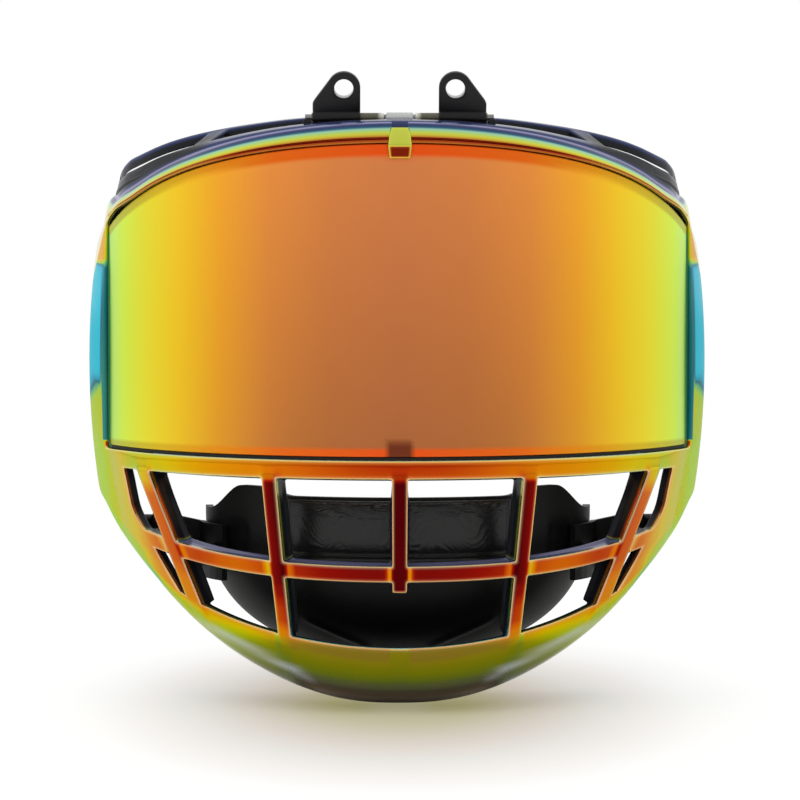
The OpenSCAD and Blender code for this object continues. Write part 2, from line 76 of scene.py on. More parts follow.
def add(tree, kind, settings=None, **links):
    """Adds a shader node, sets its sockets and options from settings, and joins sources to its inputs.

    A link is named for its input, with _ for a space, or by in and the input's number."""
    node = tree.nodes.new("ShaderNode" + kind)
    for name, value in (settings or {}).items():
        if isinstance(name, int) or name in node.inputs:
            node.inputs[name].default_value = value
        else:
            setattr(node, name, value)
    for name, source in links.items():
        entry = int(name[2:]) if name.startswith("in") else name.replace("_", " ")
        tree.links.new(socket_of(source), node.inputs[entry])
    return node


def scaled(tree, source, start=(0, 1), end=(0, 1)):
    """A value moved from the range start to the range end, and held at that range's ends."""
    limits = {"From Min": start[0], "From Max": start[1], "To Min": end[0], "To Max": end[1]}
    return add(tree, "MapRange", limits, in0=source)


def ramp(tree, stops, source):
    """A colour ramp with the given places and hex colours, read from a source."""
    node = add(tree, "ValToRGB", in0=source)
    for n, (place, colour) in enumerate(stops):
        stop = node.color_ramp.elements[n] if n < 2 else node.color_ramp.elements.new(place)
        stop.position, stop.color = place, linear(colour)
    return node


def material(name):
    """An empty node material, with its node tree and the socket that gives a point's own coordinates."""
    made = bpy.data.materials.new(name)
    made.use_nodes = True
    made.node_tree.nodes.clear()
    return made, made.node_tree, add(made.node_tree, "TexCoord").outputs["Object"]


def in_scene(name, data):
    """A new object with this data, linked to the scene."""
    obj = bpy.data.objects.new(name, data)
    bpy.context.scene.collection.objects.link(obj)
    return obj


camera = bpy.context.scene.camera = in_scene("camera", bpy.data.cameras.new("camera"))
aim, away = Vector(placed([1.05, 0, 94])), 1.2
turn, rise = math.radians(-0.56), math.radians(3)
camera.location = aim + away * Vector((math.sin(turn) * math.cos(rise), -math.cos(turn) * math.cos(rise),
                                       math.sin(rise)))
camera.rotation_euler = (aim - camera.location).to_track_quat("-Z", "Y").to_euler()
camera.data.sensor_width, camera.data.lens, camera.data.clip_end = 36, 154.29, 100
bpy.context.scene.view_settings.view_transform = "Standard"

# A white studio: it lights the object softly, is a little darker in front in reflections, and looks white
world = bpy.context.scene.world = bpy.data.worlds.new("white studio")
world.use_nodes = True
tree = world.node_tree
tree.nodes.clear()
rays = add(tree, "LightPath")
sides = add(tree, "SeparateXYZ", in0=add(tree, "TexCoord").outputs["Generated"])
front = scaled(tree, sides.outputs["Y"], (-1.0, 0.1), (0.8, 1.0))
WHITE = {"Color": (1, 1, 1, 1)}
soft = add(tree, "Background", {**WHITE, "Strength": 0.62})
shine = add(tree, "Background", WHITE, Strength=front)
plain = add(tree, "Background", WHITE)
glossy = add(tree, "MixShader", in0=rays.outputs["Is Glossy Ray"], in1=soft, in2=shine)
clear = add(tree, "Math", {"operation": "MAXIMUM"}, in0=rays.outputs["Is Camera Ray"],
            in1=rays.outputs["Is Transmission Ray"])
add(tree, "OutputWorld", Surface=add(tree, "MixShader", in0=clear, in1=glossy, in2=plain))

for name, spot, size, power in (
        ("soft box above", (-300, -500, 1200), 1.6, 9.0),
        ("soft box left", (-1300, -500, 500), 1.4, 4.5),
        ("soft box right", (1300, -400, 500), 1.4, 4.5)):
    lamp = in_scene(name, bpy.data.lights.new(name, "AREA"))
    lamp.data.size, lamp.data.energy = size, power
    lamp.visible_glossy = False
    lamp.location = Vector(placed(spot))
    lamp.rotation_euler = (aim - lamp.location).to_track_quat("-Z", "Y").to_euler()

FLOOR_R = 9.0
floor_z = cad_box[0][2] - 0.0002
floor = in_scene("floor", bpy.data.meshes.new("floor"))
floor.data.from_pydata([(x * FLOOR_R, y * FLOOR_R, floor_z) for x, y in ((-1, -1), (1, -1), (1, 1), (-1, 1))],
                       [], [(0, 1, 2, 3)])
# White paper: it is lit evenly out to plain white. Round the real contact shadow a warm shadow pool is
# painted in an emission, worked out as a distance from the chin in an ellipse, standing in for the light that
# passes the amber lens and the plating.
SHADOW_POOL = [(0.0, "989474"), (0.05, "969272"), (0.11, "8F8A5E"), (0.18, "928B5E"), (0.25, "9A9171"),
        (0.38, "ADA397"), (0.52, "BCBAB5"), (0.65, "CCC9C6"), (0.78, "D6D6D5"), (1.0, "E0E0E0")]
white_table, tree, coords = material("white table")
rays = add(tree, "LightPath")
chin = add(tree, "Mapping", {"Location": (0, -0.128, -floor_z), "Scale": (7.9, 4.4, 1.0)}, Vector=coords)
far = add(tree, "VectorMath", {"operation": "LENGTH"}, in0=chin)
paper = add(tree, "BsdfDiffuse", {"Color": linear("F4F4F2")})
# Painted shadow: an emission that shades from light grey far out to a warm grey at the chin
painted_pool = add(tree, "Emission", Color=ramp(tree, SHADOW_POOL, far.outputs["Value"]))
shadow = add(tree, "BsdfDiffuse", {"Color": linear("989896")})
both = add(tree, "AddShader", in0=shadow, in1=painted_pool)
white = add(tree, "Emission", WHITE)
off = add(tree, "VectorMath", {"operation": "LENGTH"}, in0=coords)
table = add(tree, "MixShader", in0=scaled(tree, off.outputs["Value"], (0.4, 0.8)), in1=both, in2=white)
seen = add(tree, "MixShader", in0=rays.outputs["Is Camera Ray"], in1=paper, in2=table)
add(tree, "OutputMaterial", Surface=seen)
floor.data.materials.append(white_table)

# The frame
# One moulding: brow rail with its slotted top flange, cheeks, lower rail, grille bars and chin band.
# It is moulded in a stiff plastic and plated in a thin rainbow film, and every edge of it is rounded.
WRAP_R = 107.0
RAIL_Z, RAIL_TOP, LENS_TOP, BROW_H = 74.0, 80.0, 181.4, 6.6
BAR_W, OUTER_BAR_W, BAND_Z, CROSS_Z = 5.2, 6.6, 18.2, 42.8
WALL, BAR_DEPTH, RAIL_DEPTH, FLANGE_W, LENS_INSET, RIB = 3.9, 6.0, 7.5, 22.0, 1.5, 0.8
OPENING_A, SPREAD = 66.0, 2.0
LENS_A = OPENING_A + SPREAD


def smooth(t):
    """Rises from 0 to 1 with level ends: three squares less two cubes."""
    u = np.clip(t, 0, 1)
    return u * u * (3 - 2 * u)


def mix(a, b, t):
    """The value that lies at the share t of the way from a to b."""
    return a + (b - a) * t


def half_angle(width, radius):
    """Half of the angle in degrees that a width covers on a circle of that radius."""
    return math.degrees(width / 2 / radius)


def cosd(a):
    """Cosine of an angle in degrees."""
    return np.cos(np.radians(a))


def sind(a):
    """Sine of an angle in degrees."""
    return np.sin(np.radians(a))


def behind(a):
    """Depth behind the front of the wrap at an angle: radius times one less the cosine."""
    return WRAP_R * (1 - cosd(a))


def lens_top(a):
    """Height of the lens's top edge: it falls with the depth and with the depth's square."""
    return LENS_TOP - 0.27 * behind(a) - 0.0021 * behind(a) ** 2


def lip_top(a):
    """Height of the rear lip of the brow flange, which falls mostly with the depth's square."""
    return 191.0 - 0.08 * behind(a) - 0.0032 * behind(a) ** 2


def brow_top(a):
    """Height of the brow rail's top edge: it falls faster than the lens and joins the lip at the corners."""
    middle = LENS_TOP + BROW_H - 0.36 * behind(a) - 0.0009 * behind(a) ** 2
    return mix(middle, lip_top(a) - 1.5, smooth((a - 62) / 12))


def jaw(a):
    """Height of the lower edge: a power of the depth under the chin, then a slope, and less on the cheeks."""
    d, chin_d, side_d = behind(a), 45.6, 80
    return (-4.0 + 0.15 * np.minimum(d, chin_d) ** 1.45 + 0.75 * np.maximum(0, np.minimum(d, side_d) - chin_d)
            + 0.25 * np.maximum(0, d - side_d))


def band_top(a):
    """Height of the chin band's upper edge: it rises with the depth and stays 5 mm above the lower edge."""
    return np.maximum(BAND_Z + 45 * (1 - cosd(a)), jaw(a) + 5)


# The columns' angles: from the middle to the edges of each bar, past the lens's side edge, and on the legs
INNER_A, OUTER_A, GRILLE_A = 23.4, 53.0, 60.0
BAR_HALF, OUTER_HALF = half_angle(BAR_W, WRAP_R), half_angle(OUTER_BAR_W, WRAP_R)
slot_start = half_angle(8 + 2.4, WRAP_R - RAIL_DEPTH)
COLS = np.array([0, BAR_HALF, *np.linspace(slot_start, INNER_A - BAR_HALF, 6),
                 *np.linspace(INNER_A + BAR_HALF, OUTER_A - OUTER_HALF, 7), OUTER_A + OUTER_HALF,
                 OPENING_A - 5.5, OPENING_A - math.degrees(4 / WRAP_R), *np.linspace(OPENING_A, 90, 6),
                 90, 90, 90])
N_COL = len(COLS) - 1
LEG_BACK, LEG_EDGE_H, ROLL_TURN, ROLL_SHARE = 28.0, 46.0, 80.0, 0.72


def angle_at(cols):
    """Angle of a fractional column, straight between the whole ones, which count from -1."""
    return np.interp(cols, np.arange(-1, N_COL), COLS)


def roll_line(a, share):
    """Height of the rolled chin edge: the share of the roll that is left, by its sine over the whole's."""
    turned = ROLL_TURN * cosd(a)
    return jaw(a) + ROLL_SHARE * (band_top(a) - jaw(a)) * (1 - sind(turned * share) / sind(turned))


def grid_lines(a):
    """Heights of the 22 lines across the frame at the angles a, from the chin edge up to the brow."""
    def low(b):
        bar, over = (CROSS_Z + 21.4 * (1 - cosd(b)) ** 1.2 + s * BAR_W / 2 for s in (-1, 1))
        top, stub = band_top(b), (36.8 - BAND_Z) / (CROSS_Z - BAR_W / 2 - BAND_Z)
        return [roll_line(b, s) for s in (1, 0.75, 0.5, 0.25, 0)] + [
            top, mix(top, bar, 0.45), mix(top, bar, stub), bar, over,
            mix(over, RAIL_Z, 0.33), mix(over, RAIL_Z, 0.67), RAIL_Z + 0 * b]
    edge = np.minimum(a, GRILLE_A)
    fixed = np.full_like(a, GRILLE_A)
    wide = [np.where(a <= GRILLE_A, near, mix(jaw(a), RAIL_Z, (far - jaw(fixed)) / (RAIL_Z - jaw(fixed))))
            for near, far in zip(low(edge), low(fixed))]
    ledge = lens_top(a) - 4
    high = [RAIL_TOP + 0 * a] + [mix(RAIL_TOP + 4, ledge, s / 4) for s in range(5)] + [
        lens_top(a), brow_top(a) - 3, brow_top(a)]
    return np.stack(wide + high)


def from_bars(cols):
    """Distance in mm along the face from the edge of the nearest upright bar, nothing on the bar itself."""
    s = WRAP_R * np.radians(angle_at(cols))
    edges = [(-1.0, COLS[1]), (COLS[7], COLS[8]), (COLS[14], COLS[15])]
    gaps = [np.maximum(WRAP_R * math.radians(a) - s, s - WRAP_R * math.radians(b)) for a, b in edges]
    return np.maximum(0, np.min(gaps, 0))


def frame_points(layers, rows, cols):
    """The frame's grid at fractional layers, rows and half columns, as layer, row, column and x, y, z.

    Round the wrap a point is radius times the angle's sine and cosine. The radius leans in below the rail,
    bulges on the cheeks, and is less by the layer's depth, which turns downwards where the chin edge rolls
    under. Along the cheeks the columns run straight back and close up towards their rear edge. The uprights
    stand proud as ribs that run out on the chin band, and a bell curve cuts a narrow groove in the brow."""
    leg = np.interp(cols, [21, 22, 23, 24, 25], [0, 0, 0.4, 0.6, 1])[None, :] + 0 * rows[:, None]
    base_a = angle_at(cols)[None, :] + 0 * rows[:, None]
    weight = np.maximum(0, 1 - np.abs(rows[:, None] - np.arange(22)[None, :]))
    roll = np.interp(rows, [0, 4], [1, 0])[:, None]

    def height(a):
        z = np.einsum("jr,rjh->jh", weight, grid_lines(a))
        near = roll_line(np.minimum(a, GRILLE_A), roll)
        share = (roll_line(GRILLE_A, roll) - jaw(GRILLE_A)) / (RAIL_Z - jaw(GRILLE_A))
        z = np.where(rows[:, None] < 4, np.where(a <= GRILLE_A, near, mix(jaw(a), RAIL_Z, share)), z)
        low, high = jaw(90.0), brow_top(90.0)
        mid = (low + high) / 2
        new_low, new_high = mix(low, mid - LEG_EDGE_H / 2 + 3, leg), mix(high, mid + LEG_EDGE_H / 2 + 3, leg)
        return np.where(leg > 0, new_low + (z - low) * (new_high - new_low) / (high - low), z)

    def angle(z):
        swing = 0.2 * np.clip(RAIL_Z - z, 0, 52)
        outer_out, cheek, fade = COLS[15], COLS[16], COLS[N_COL - 5]
        edge = np.maximum(cheek - 0.5 * np.maximum(0, 60 - z), outer_out - swing + 1)
        bars = base_a - swing * np.clip((cols - 7) / 6, 0, 1)
        side = np.where(base_a < fade, base_a - (cheek - edge) * (fade - base_a) / (fade - cheek), base_a)
        return mix(bars, side, np.clip(cols - 14, 0, 1)[None, :])

    a = angle(height(angle(height(base_a))))
    z = height(a)
    # The face's own radius, and how far the rolled chin edge tucks under
    lean = WRAP_R - 19 * (np.maximum(0, RAIL_TOP - z) / 82) ** 1.1
    bulge = WRAP_R + 0.2 - 0.0017 * (z - 108) ** 2
    radius = mix(lean, bulge, smooth((a - 60) / 20))
    whole_roll = ROLL_TURN * cosd(a)
    turned = whole_roll * roll
    drop = ROLL_SHARE * (band_top(a) - jaw(a))
    tuck = np.where((a < 89) & (roll > 0), drop * np.tan(np.radians(whole_roll) / 2) * (1 + cosd(a) ** 2)
                    * (1 - cosd(turned)) / np.maximum(1e-9, 1 - cosd(whole_roll)), 0)
    # The depth of each layer. The brow's flange closes up towards the corners and slopes to its rear lip
    lip = 1 - 0.8 * smooth((a - 30) / 45)
    squeeze = 1 - 0.55 * (smooth((a - 28) / 34) - smooth((a - 76) / 9))
    upper = np.clip(rows - 19, 0, 1)[:, None]
    back = np.interp(rows, [11, 12], [BAR_DEPTH, RAIL_DEPTH])[:, None]
    room = (FLANGE_W - RAIL_DEPTH) * lip
    depths = np.stack([0 * a, LENS_INSET + 0 * a, WALL + 0 * a, back + 0 * a, back + 0.08 * room,
                       back + 0.83 * room, back + room]) * mix(1, squeeze, upper)
    layer_weight = np.maximum(0, 1 - np.abs(layers[:, None] - np.arange(7)[None, :]))
    d = np.einsum("lk,kjh->ljh", layer_weight, depths)
    rise_up = upper * (lip_top(a) - brow_top(a)) * d / depths[6] * (layers > 0)[:, None, None]
    # The bars are wider at their backs
    at_back = np.maximum(0, 1 - np.abs(layers - 3))[:, None, None]
    sides = [0, 1, 0, 0, 0, 0, 0, -1, 1, 0, 0, 0, 0, 0, -1, 1] + [0] * 11
    bar_side = np.interp(cols, np.arange(-1, 26), sides)
    bar_row = np.interp(rows, [5, 6, 11, 12], [0, 1, 1, 0])
    flare_a = at_back * bar_side[None, None, :] * bar_row[None, :, None] * half_angle(2, WRAP_R)
    row_side = np.interp(rows, np.arange(22), [0] * 5 + [1, 0, 0, -1, 1, 0, 0, -1] + [0] * 9)
    flare_z = at_back * row_side[None, :, None] * (cols < 15)[None, None, :]
    # The brow's rounded top, its groove, the bevel on the rail, and the ribs
    share = np.clip(rows - 19, 0, 2)[:, None] / 2
    bead = (1.7 * share + 2.0 * (1 - np.sqrt(np.maximum(0, 1 - share ** 2)))) * (1 - smooth((a - 76) / 12))
    groove = 0.7 * np.exp(-((rows - 19.4) / 0.09) ** 2)[:, None] * (1 - smooth((a - 64) / 4))
    rail_edge = (np.clip((rows - 12.84) / 0.16, 0, 1) * (rows <= 13))[:, None]
    bevel = 0.9 * rail_edge * (1 - smooth((a - 55) / 6))
    inwards = (bead * (upper > 0) + groove + bevel) * np.maximum(0, 1 - d / 5)
    along = (smooth((rows - 3.4) / 1.4) * (1 - smooth((rows - 12) / 0.25)))[:, None]
    ribs = RIB * along * np.clip(1 - from_bars(cols) / RIB, 0, 1) * np.clip(1 - layers, 0, 1)[:, None, None]
    r = radius - tuck - d * cosd(turned) - inwards + ribs
    full_a = a + flare_a
    return np.stack([r * sind(full_a), leg * LEG_BACK - r * cosd(full_a),
                     z + d * sind(turned) + rise_up + flare_z + 0 * r], -1)


def frame_cells(k, j, c):
    """Which cells of the grid are solid, by layer, row and half column: true inside the moulding.

    Rows 0 to 4 are the chin band, 5 to 7 the lower windows, 8 the cross bar, 9 to 11 the upper windows, 12
    the lower rail, 13 to 18 the lens opening, 19 the brow rail and 20 its flange. Columns 0, 7 and 14 are
    the uprights, and the cheek runs from 16 on."""
    bar = (c == 7) | (c == 14)
    middle = c == 0
    wall = (c > 15) & (k < 2)
    strap = (c == N_COL - 2) & (j > 14) & (j < 18)
    deep = np.where((c < 18), k == 2, np.where(c == 18, k < 3, k < 2))
    window = np.where(bar, k < 3, wall)
    slots = ((c >= 2) & (c <= 10)) | ((c >= 12) & (c <= 17))
    notch = middle & (k == 0)
    cell = np.select(
        [(k > 2) & ((j != 20) | (c > 20)), j < 5, j < 7, j == 7, j == 8, j < 12, j == 12,
         (j == 13) | (j == 18), j < 18, j == 19],
        [False, k < 2, window, window | (middle & (k < 3)), np.where(c < 16, k < 3, k < 2),
         window | (middle & (k < 3)), np.where(c < 19, k < 3, k < 2), deep,
         np.where(c == 17, k == 2, np.where(c == 18, k < 3, (c > 18) & (k < 2))),
         np.where(notch, False, np.where(c < 19, k < 3, k < 2))],
        np.where(notch, False, np.where(c > 20, k < 2, np.where(k == 4, ~slots, True))))
    return cell & ~strap


def refined(widths, features, near, span):
    """Places along a run of cells: each cell's ends, a line near each edge feature, even steps between."""
    out = []
    for n, w in enumerate(widths):
        lo = near / w if n in features else 0
        hi = near / w if n + 1 in features else 0
        if lo + hi > 0.7:
            inner = [0.34, 0.66] if lo and hi else [0.5]
        else:
            inner = ([lo] if lo else []) + ([1 - hi] if hi else [])
            steps = int(w * (1 - lo - hi) // span)
            inner += [lo + (1 - lo - hi) * s / (steps + 1) for s in range(1, steps + 1)]
        out += [n] + [n + t for t in sorted(inner)]
    return np.array(out + [len(widths)], float)


def boundary_faces(filled):
    """Square faces between solid and empty cells of a grid, turned outwards, for each of its three axes."""
    ids = np.arange(np.prod([n + 1 for n in filled.shape])).reshape([n + 1 for n in filled.shape])
    padded_cells = np.pad(filled, 1)
    faces = []
    for axis in range(3):
        f = np.moveaxis(padded_cells, axis, 0)[:, 1:-1, 1:-1]
        p = np.moveaxis(ids, axis, 0)
        corners = np.stack([p[:, :-1, :-1], p[:, 1:, :-1], p[:, 1:, 1:], p[:, :-1, 1:]], -1)
        outward = f[:-1] & ~f[1:]
        inward = f[1:] & ~f[:-1]
        a, b = corners[outward], corners[inward][:, ::-1]
        pair = np.concatenate([a, b])
        faces.append(pair[:, ::-1] if axis == 1 else pair)
    return np.concatenate(faces)


def piece(name, points, faces, body, node, data=None):
    """A mesh object from points in mm and arrays of faces, turned outwards, with a value at each point under
    each name in data. It rides on a body and stands for a CAD node."""
    groups = faces if isinstance(faces, list) else [faces]
    used, back = np.unique(np.concatenate([g.ravel() for g in groups]), return_inverse=True)
    points = np.asarray(points, float).reshape(-1, 3)[used]
    sizes = np.concatenate([np.full(len(g), g.shape[1]) for g in groups])
    starts = np.concatenate([[0], np.cumsum(sizes)[:-1]])
    middle = points - points.mean(0)
    p, q, r, s = (middle[back[starts[:len(groups[0])] + n]] for n in range(4))
    volume = np.einsum("ij,ij->", p, np.cross(q, r) + np.cross(r, s))
    if volume < 0:
        ends = np.repeat(starts + sizes - 1, sizes)
        back = back[ends - (np.arange(len(back)) - np.repeat(starts, sizes))]
    mesh = bpy.data.meshes.new(name)
    mesh.vertices.add(len(points))
    mesh.vertices.foreach_set("co", placed(points).ravel())
    mesh.loops.add(len(back))
    mesh.loops.foreach_set("vertex_index", back)
    mesh.polygons.add(len(sizes))
    mesh.polygons.foreach_set("loop_start", starts)
    mesh.polygons.foreach_set("use_smooth", np.ones(len(sizes), bool))
    mesh.update(calc_edges=True)
    mesh.validate()
    for key, values in (data or {}).items():
        flat = np.asarray(values, np.float32).ravel()[used]
        mesh.attributes.new(key, "FLOAT", "POINT").data.foreach_set("value", flat)
    obj = in_scene(name, mesh)
    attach(obj, body)
    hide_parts(node)
    return obj


def rounded_off(obj, levels=1):
    """Subdivides a piece's mesh and keeps the result as its mesh."""
    mod = obj.modifiers.new("subdivision", "SUBSURF")
    mod.levels = mod.render_levels = levels
    bpy.context.view_layer.update()
    mesh = bpy.data.meshes.new_from_object(obj.evaluated_get(bpy.context.evaluated_depsgraph_get()))
    obj.modifiers.clear()
    old, obj.data = obj.data, mesh
    bpy.data.meshes.remove(old)
    return obj


def values_of(mesh, key):
    """The values of a point attribute, or nothing at every point where the mesh has none."""
    out = np.zeros(len(mesh.vertices), np.float32)
    if key in mesh.attributes:
        mesh.attributes[key].data.foreach_get("value", out)
    return out


def plated(obj):
    """Stores where a plated surface lies on the film's colours, and gives it the plating.

    The place is one less the forward part of the normal, plus the piece's own tint, or the piece's own place
    where it has one. It runs more slowly low on the grille and at the ends of the cheeks, where the film is
    thin. The lip beside the lens is at least teal. The cheeks are at least green, cyan higher up and gold at
    the top. Up says how far a surface faces up, where the film has other colours. Under says how far it faces
    down at the chin, where the film's colours are darkened by painted shade, as of the shaded floor below.
    Glare is a painted highlight, a pale streak of the white table reflected along the chin band. Flank says
    where the film scatters the light like pearl."""
    mesh = obj.data
    n, co = np.empty((2, len(mesh.vertices), 3), np.float32)
    mesh.vertex_normals.foreach_get("vector", n.ravel())
    mesh.vertices.foreach_get("co", co.ravel())
    co = co * 1000 - AXIS
    x, z = np.abs(co[:, 0]), co[:, 2]
    a = np.degrees(np.arctan2(x, -co[:, 1]))
    pace = (1 - 0.58 * smooth((a - 30) / 12) * (1 - smooth((a - 54) / 8)) * (1 - smooth((z - 66) / 6))
            - 0.36 * smooth((a - 54) / 8) * (1 - smooth((z - 92) / 14))
            - 0.35 * smooth((a - 66) / 8) * smooth((z - 145) / 14))
    cheek = 0.1 * smooth((a - 53) / 5) * (1 - smooth((a - 72) / 10)) * (1 - smooth((z - 78) / 12))
    place = values_of(mesh, "place")
    film = (1 - np.abs(n[:, 1])) * pace + values_of(mesh, "tint") + cheek
    film = np.where((a > 64) & (a < 70) & (z > 82) & (z < 168), np.maximum(film, 0.665), film)
    least = (0.53 * smooth((z - 56) / 8) + 0.29 * smooth((z - 98) / 8)) * (1 - smooth((z - 140) / 4))
    film = np.maximum(film, least * smooth((a - 69) / 2))
    gold = smooth((a - 66) / 3) * smooth((z - 140) / 4) * (1 - smooth((z - 160) / 6))
    film = np.minimum(film, 1 - 0.66 * gold)
    film = np.where((z < 34) & (x > 25), np.minimum(film, 1 - 0.48 * smooth((x - 25) / 18)), film)
    film = np.where((z < 82) & (a > 50), np.minimum(film, 0.56 + 0.06 * smooth((45 - z) / 10)), film)
    # Painted highlight: a pale streak of the white table, reflected along the chin band's underside
    streak = np.exp(-((z - 8.8 - 0.46 * (x - 32.5)) / 1.2) ** 2)
    glare = 0.6 * streak * smooth((x - 26) / 8) * (1 - smooth((x - 58) / 12))
    film = np.clip(np.where(place > 0.004, place, film), 0, 1)
    cheeks = smooth((a - 65) / 2) * smooth((z - 40) / 20)
    marks = {
        "film": film,
        "flank": np.maximum(np.clip((film - 0.68) / 0.12, 0, 1), cheeks),
        "up": np.where(place > 0.004, 1, smooth((n[:, 2] - 0.1) / 0.35) * smooth((z - 150) / 8)),
        "under": smooth((0.02 - n[:, 2]) / 0.2) * smooth((23 - z) / 5) * (1 - smooth((x - 34) / 40)),
        "glare": glare * smooth(-n[:, 1] / 0.1)}
    for key, values in marks.items():
        mesh.attributes.new(key, "FLOAT", "POINT").data.foreach_set("value", values.astype(np.float32))
    mesh.materials.append(plating)
    return obj


def blended(tree, share, first, second):
    """The colour that lies between two others by a share. The second is a source or a hex colour."""
    fixed = isinstance(second, str)
    settings = {"data_type": "RGBA", 7: linear(second)} if fixed else {"data_type": "RGBA"}
    return add(tree, "Mix", settings, in0=share, in6=first, **({} if fixed else {"in7": second})).outputs[2]


def mark(tree, key):
    """The value that a piece's points carry under a name."""
    return add(tree, "Attribute", {"attribute_name": key}).outputs["Fac"]


# Rainbow plating: a vacuum coated chrome film over moulded plastic. Seen square on it is dark red, and at a
# slant orange, yellow, green, then cyan on the sides and navy to lavender on the brow. The film doesn't
# reach the depth of the grille, which stays bare black plastic. A pale highlight is painted along the
# windows' edges, and painted shade and a painted highlight streak lie on the chin's underside.
FILM = [(0.00, "500408"), (0.02, "780C0A"), (0.06, "921408"), (0.10, "B4320A"), (0.15, "CE5C0A"),
        (0.21, "DA7C08"), (0.28, "DC9008"), (0.35, "DCA404"), (0.42, "D8BC00"), (0.49, "BCC000"),
        (0.56, "A4CC28"), (0.62, "5CB078"), (0.67, "0A6474"), (0.72, "0896B4"), (0.82, "20BAD2"),
        (0.92, "3CD0E0"), (0.97, "4CD8E4"), (1.00, "74E8EC")]
FILM_UP = [(0.00, "70180A"), (0.05, "B0421A"), (0.10, "C08434"), (0.20, "D9C340"), (0.30, "D0D850"),
           (0.40, "B4D87A"), (0.50, "A0D0B0"), (0.60, "3C6880"), (0.70, "2A3A60"), (0.84, "343A60"),
           (0.94, "70709A"), (1.00, "9090AC")]
# Under the chin: film colours darkened with painted shade, olive to brown, where the surface faces the shaded
# floor
FILM_UNDER_SHADED = [(0.34, "8A7420"), (0.40, "8C8012"), (0.50, "80800A"), (0.62, "707C14"), (0.72, "5C6230"),
              (0.85, "4A4230"), (0.94, "5A4A34"), (1.00, "6E6250")]
plating, tree, coords = material("rainbow vacuum plating")
film_at, flank, up, under, deep, rim, glare = (
    mark(tree, key) for key in ("film", "flank", "up", "under", "deep", "rim", "glare"))
drift = add(tree, "TexNoise", {"Scale": 22.0, "Detail": 2.0}, Vector=coords)
film = add(tree, "Math", {"operation": "ADD"}, in0=film_at, in1=scaled(tree, drift, end=(-0.02, 0.02)))
colour = blended(tree, up, ramp(tree, FILM, film), ramp(tree, FILM_UP, film))
colour = blended(tree, under, colour, ramp(tree, FILM_UNDER_SHADED, film))
# Painted highlight: the rim mark turns the film pale cream along the windows' edges and the latch's sides
highlight_and_bare_edge = add(tree, "Math", {"operation": "POWER", 1: 2.5}, in0=rim)
highlight_and_bare_edge = add(tree, "Math", {"operation": "MULTIPLY", 1: 0.5}, in0=highlight_and_bare_edge)
colour = blended(tree, highlight_and_bare_edge, colour, "FFEAB4")
colour = blended(tree, glare, colour, "D8DCE8")
colour = blended(tree, deep, colour, "15171C")
waves = add(tree, "TexNoise", {"Scale": 160.0, "Detail": 3.0}, Vector=coords)
bump = add(tree, "Bump", {"Strength": 0.04, "Distance": 0.0004}, Height=waves)
coated = scaled(tree, deep, end=(1, 0))
times = {"operation": "MULTIPLY"}
metal = add(tree, "Math", times, in0=scaled(tree, film, (0.64, 0.78), (1.0, 0.4)), in1=coated)
shader = add(tree, "BsdfPrincipled", {"Specular IOR Level": 0.2}, Base_Color=colour, Metallic=metal,
             Roughness=scaled(tree, deep, end=(0.14, 0.28)), Normal=bump)
pearl = add(tree, "Math", times, in0=scaled(tree, flank, end=(0, 0.72)), in1=coated)
pearl = add(tree, "Math", times, in0=pearl, in1=scaled(tree, up, end=(1, 0)))
add(tree, "OutputMaterial", Surface=add(
    tree, "MixShader", in0=pearl, in1=shader, in2=add(tree, "BsdfDiffuse", Color=colour)))

widths = np.concatenate([WRAP_R * np.radians(np.diff(COLS))[:23], [11.2, 5.6, 11.2]])
cols = refined(widths, {1, 2, 7, 8, 11, 12, 14, 15, 16, 17, 18, 19, 21, 24, 25, 26}, 1.3, 4.5) - 1
row_widths = [4, 4, 4, 4, 6, 10, 8, 3.4, 5.2, 9.4, 9.6, 9.4, 6, 4, 23, 23, 23, 23, 4, 3.6, 3]
rows = refined(row_widths, {0, 5, 7, 8, 9, 12, 13, 14, 15, 18, 19, 20, 21}, 1.2, 7.0)
rows = np.union1d(rows, [19.22, 19.3, 19.4, 19.5, 19.58])
layers = refined([1.5, 2.4, 3.6, 1.2, 10.8, 2.5], {0, 1, 2, 3, 4, 5, 6}, 0.6, 6.0)


def opened(points):
    """Turns points by the lens opening's side edges outwards about the wrap's axis, by up to SPREAD degrees.

    Nothing moves below the lower rail, at less than 56 degrees or on the legs."""
    x, y, z = np.moveaxis(points, -1, 0)
    a = np.degrees(np.arctan2(x, -y))
    more = SPREAD * smooth((a - 56) / 6) * (1 - smooth((a - 66.5) / 20)) * smooth((z - 72) / 8)
    return np.stack([x * cosd(more) - y * sind(more), x * sind(more) + y * cosd(more), z], -1)


half = opened(frame_points(layers, rows, cols))
grid = np.concatenate([(half * [-1, 1, 1])[:, :, :0:-1], half], 2)


def parents(lines):
    """The whole cell that each fine cell between two lines belongs to."""
    return np.floor((lines[1:] + lines[:-1]) / 2 + 1e-9).astype(int)


k, j, c = np.meshgrid(parents(layers), parents(rows), parents(cols) + 1, indexing="ij")
cells = frame_cells(k, j, c)
cells = np.concatenate([cells[:, :, ::-1], cells], 2)


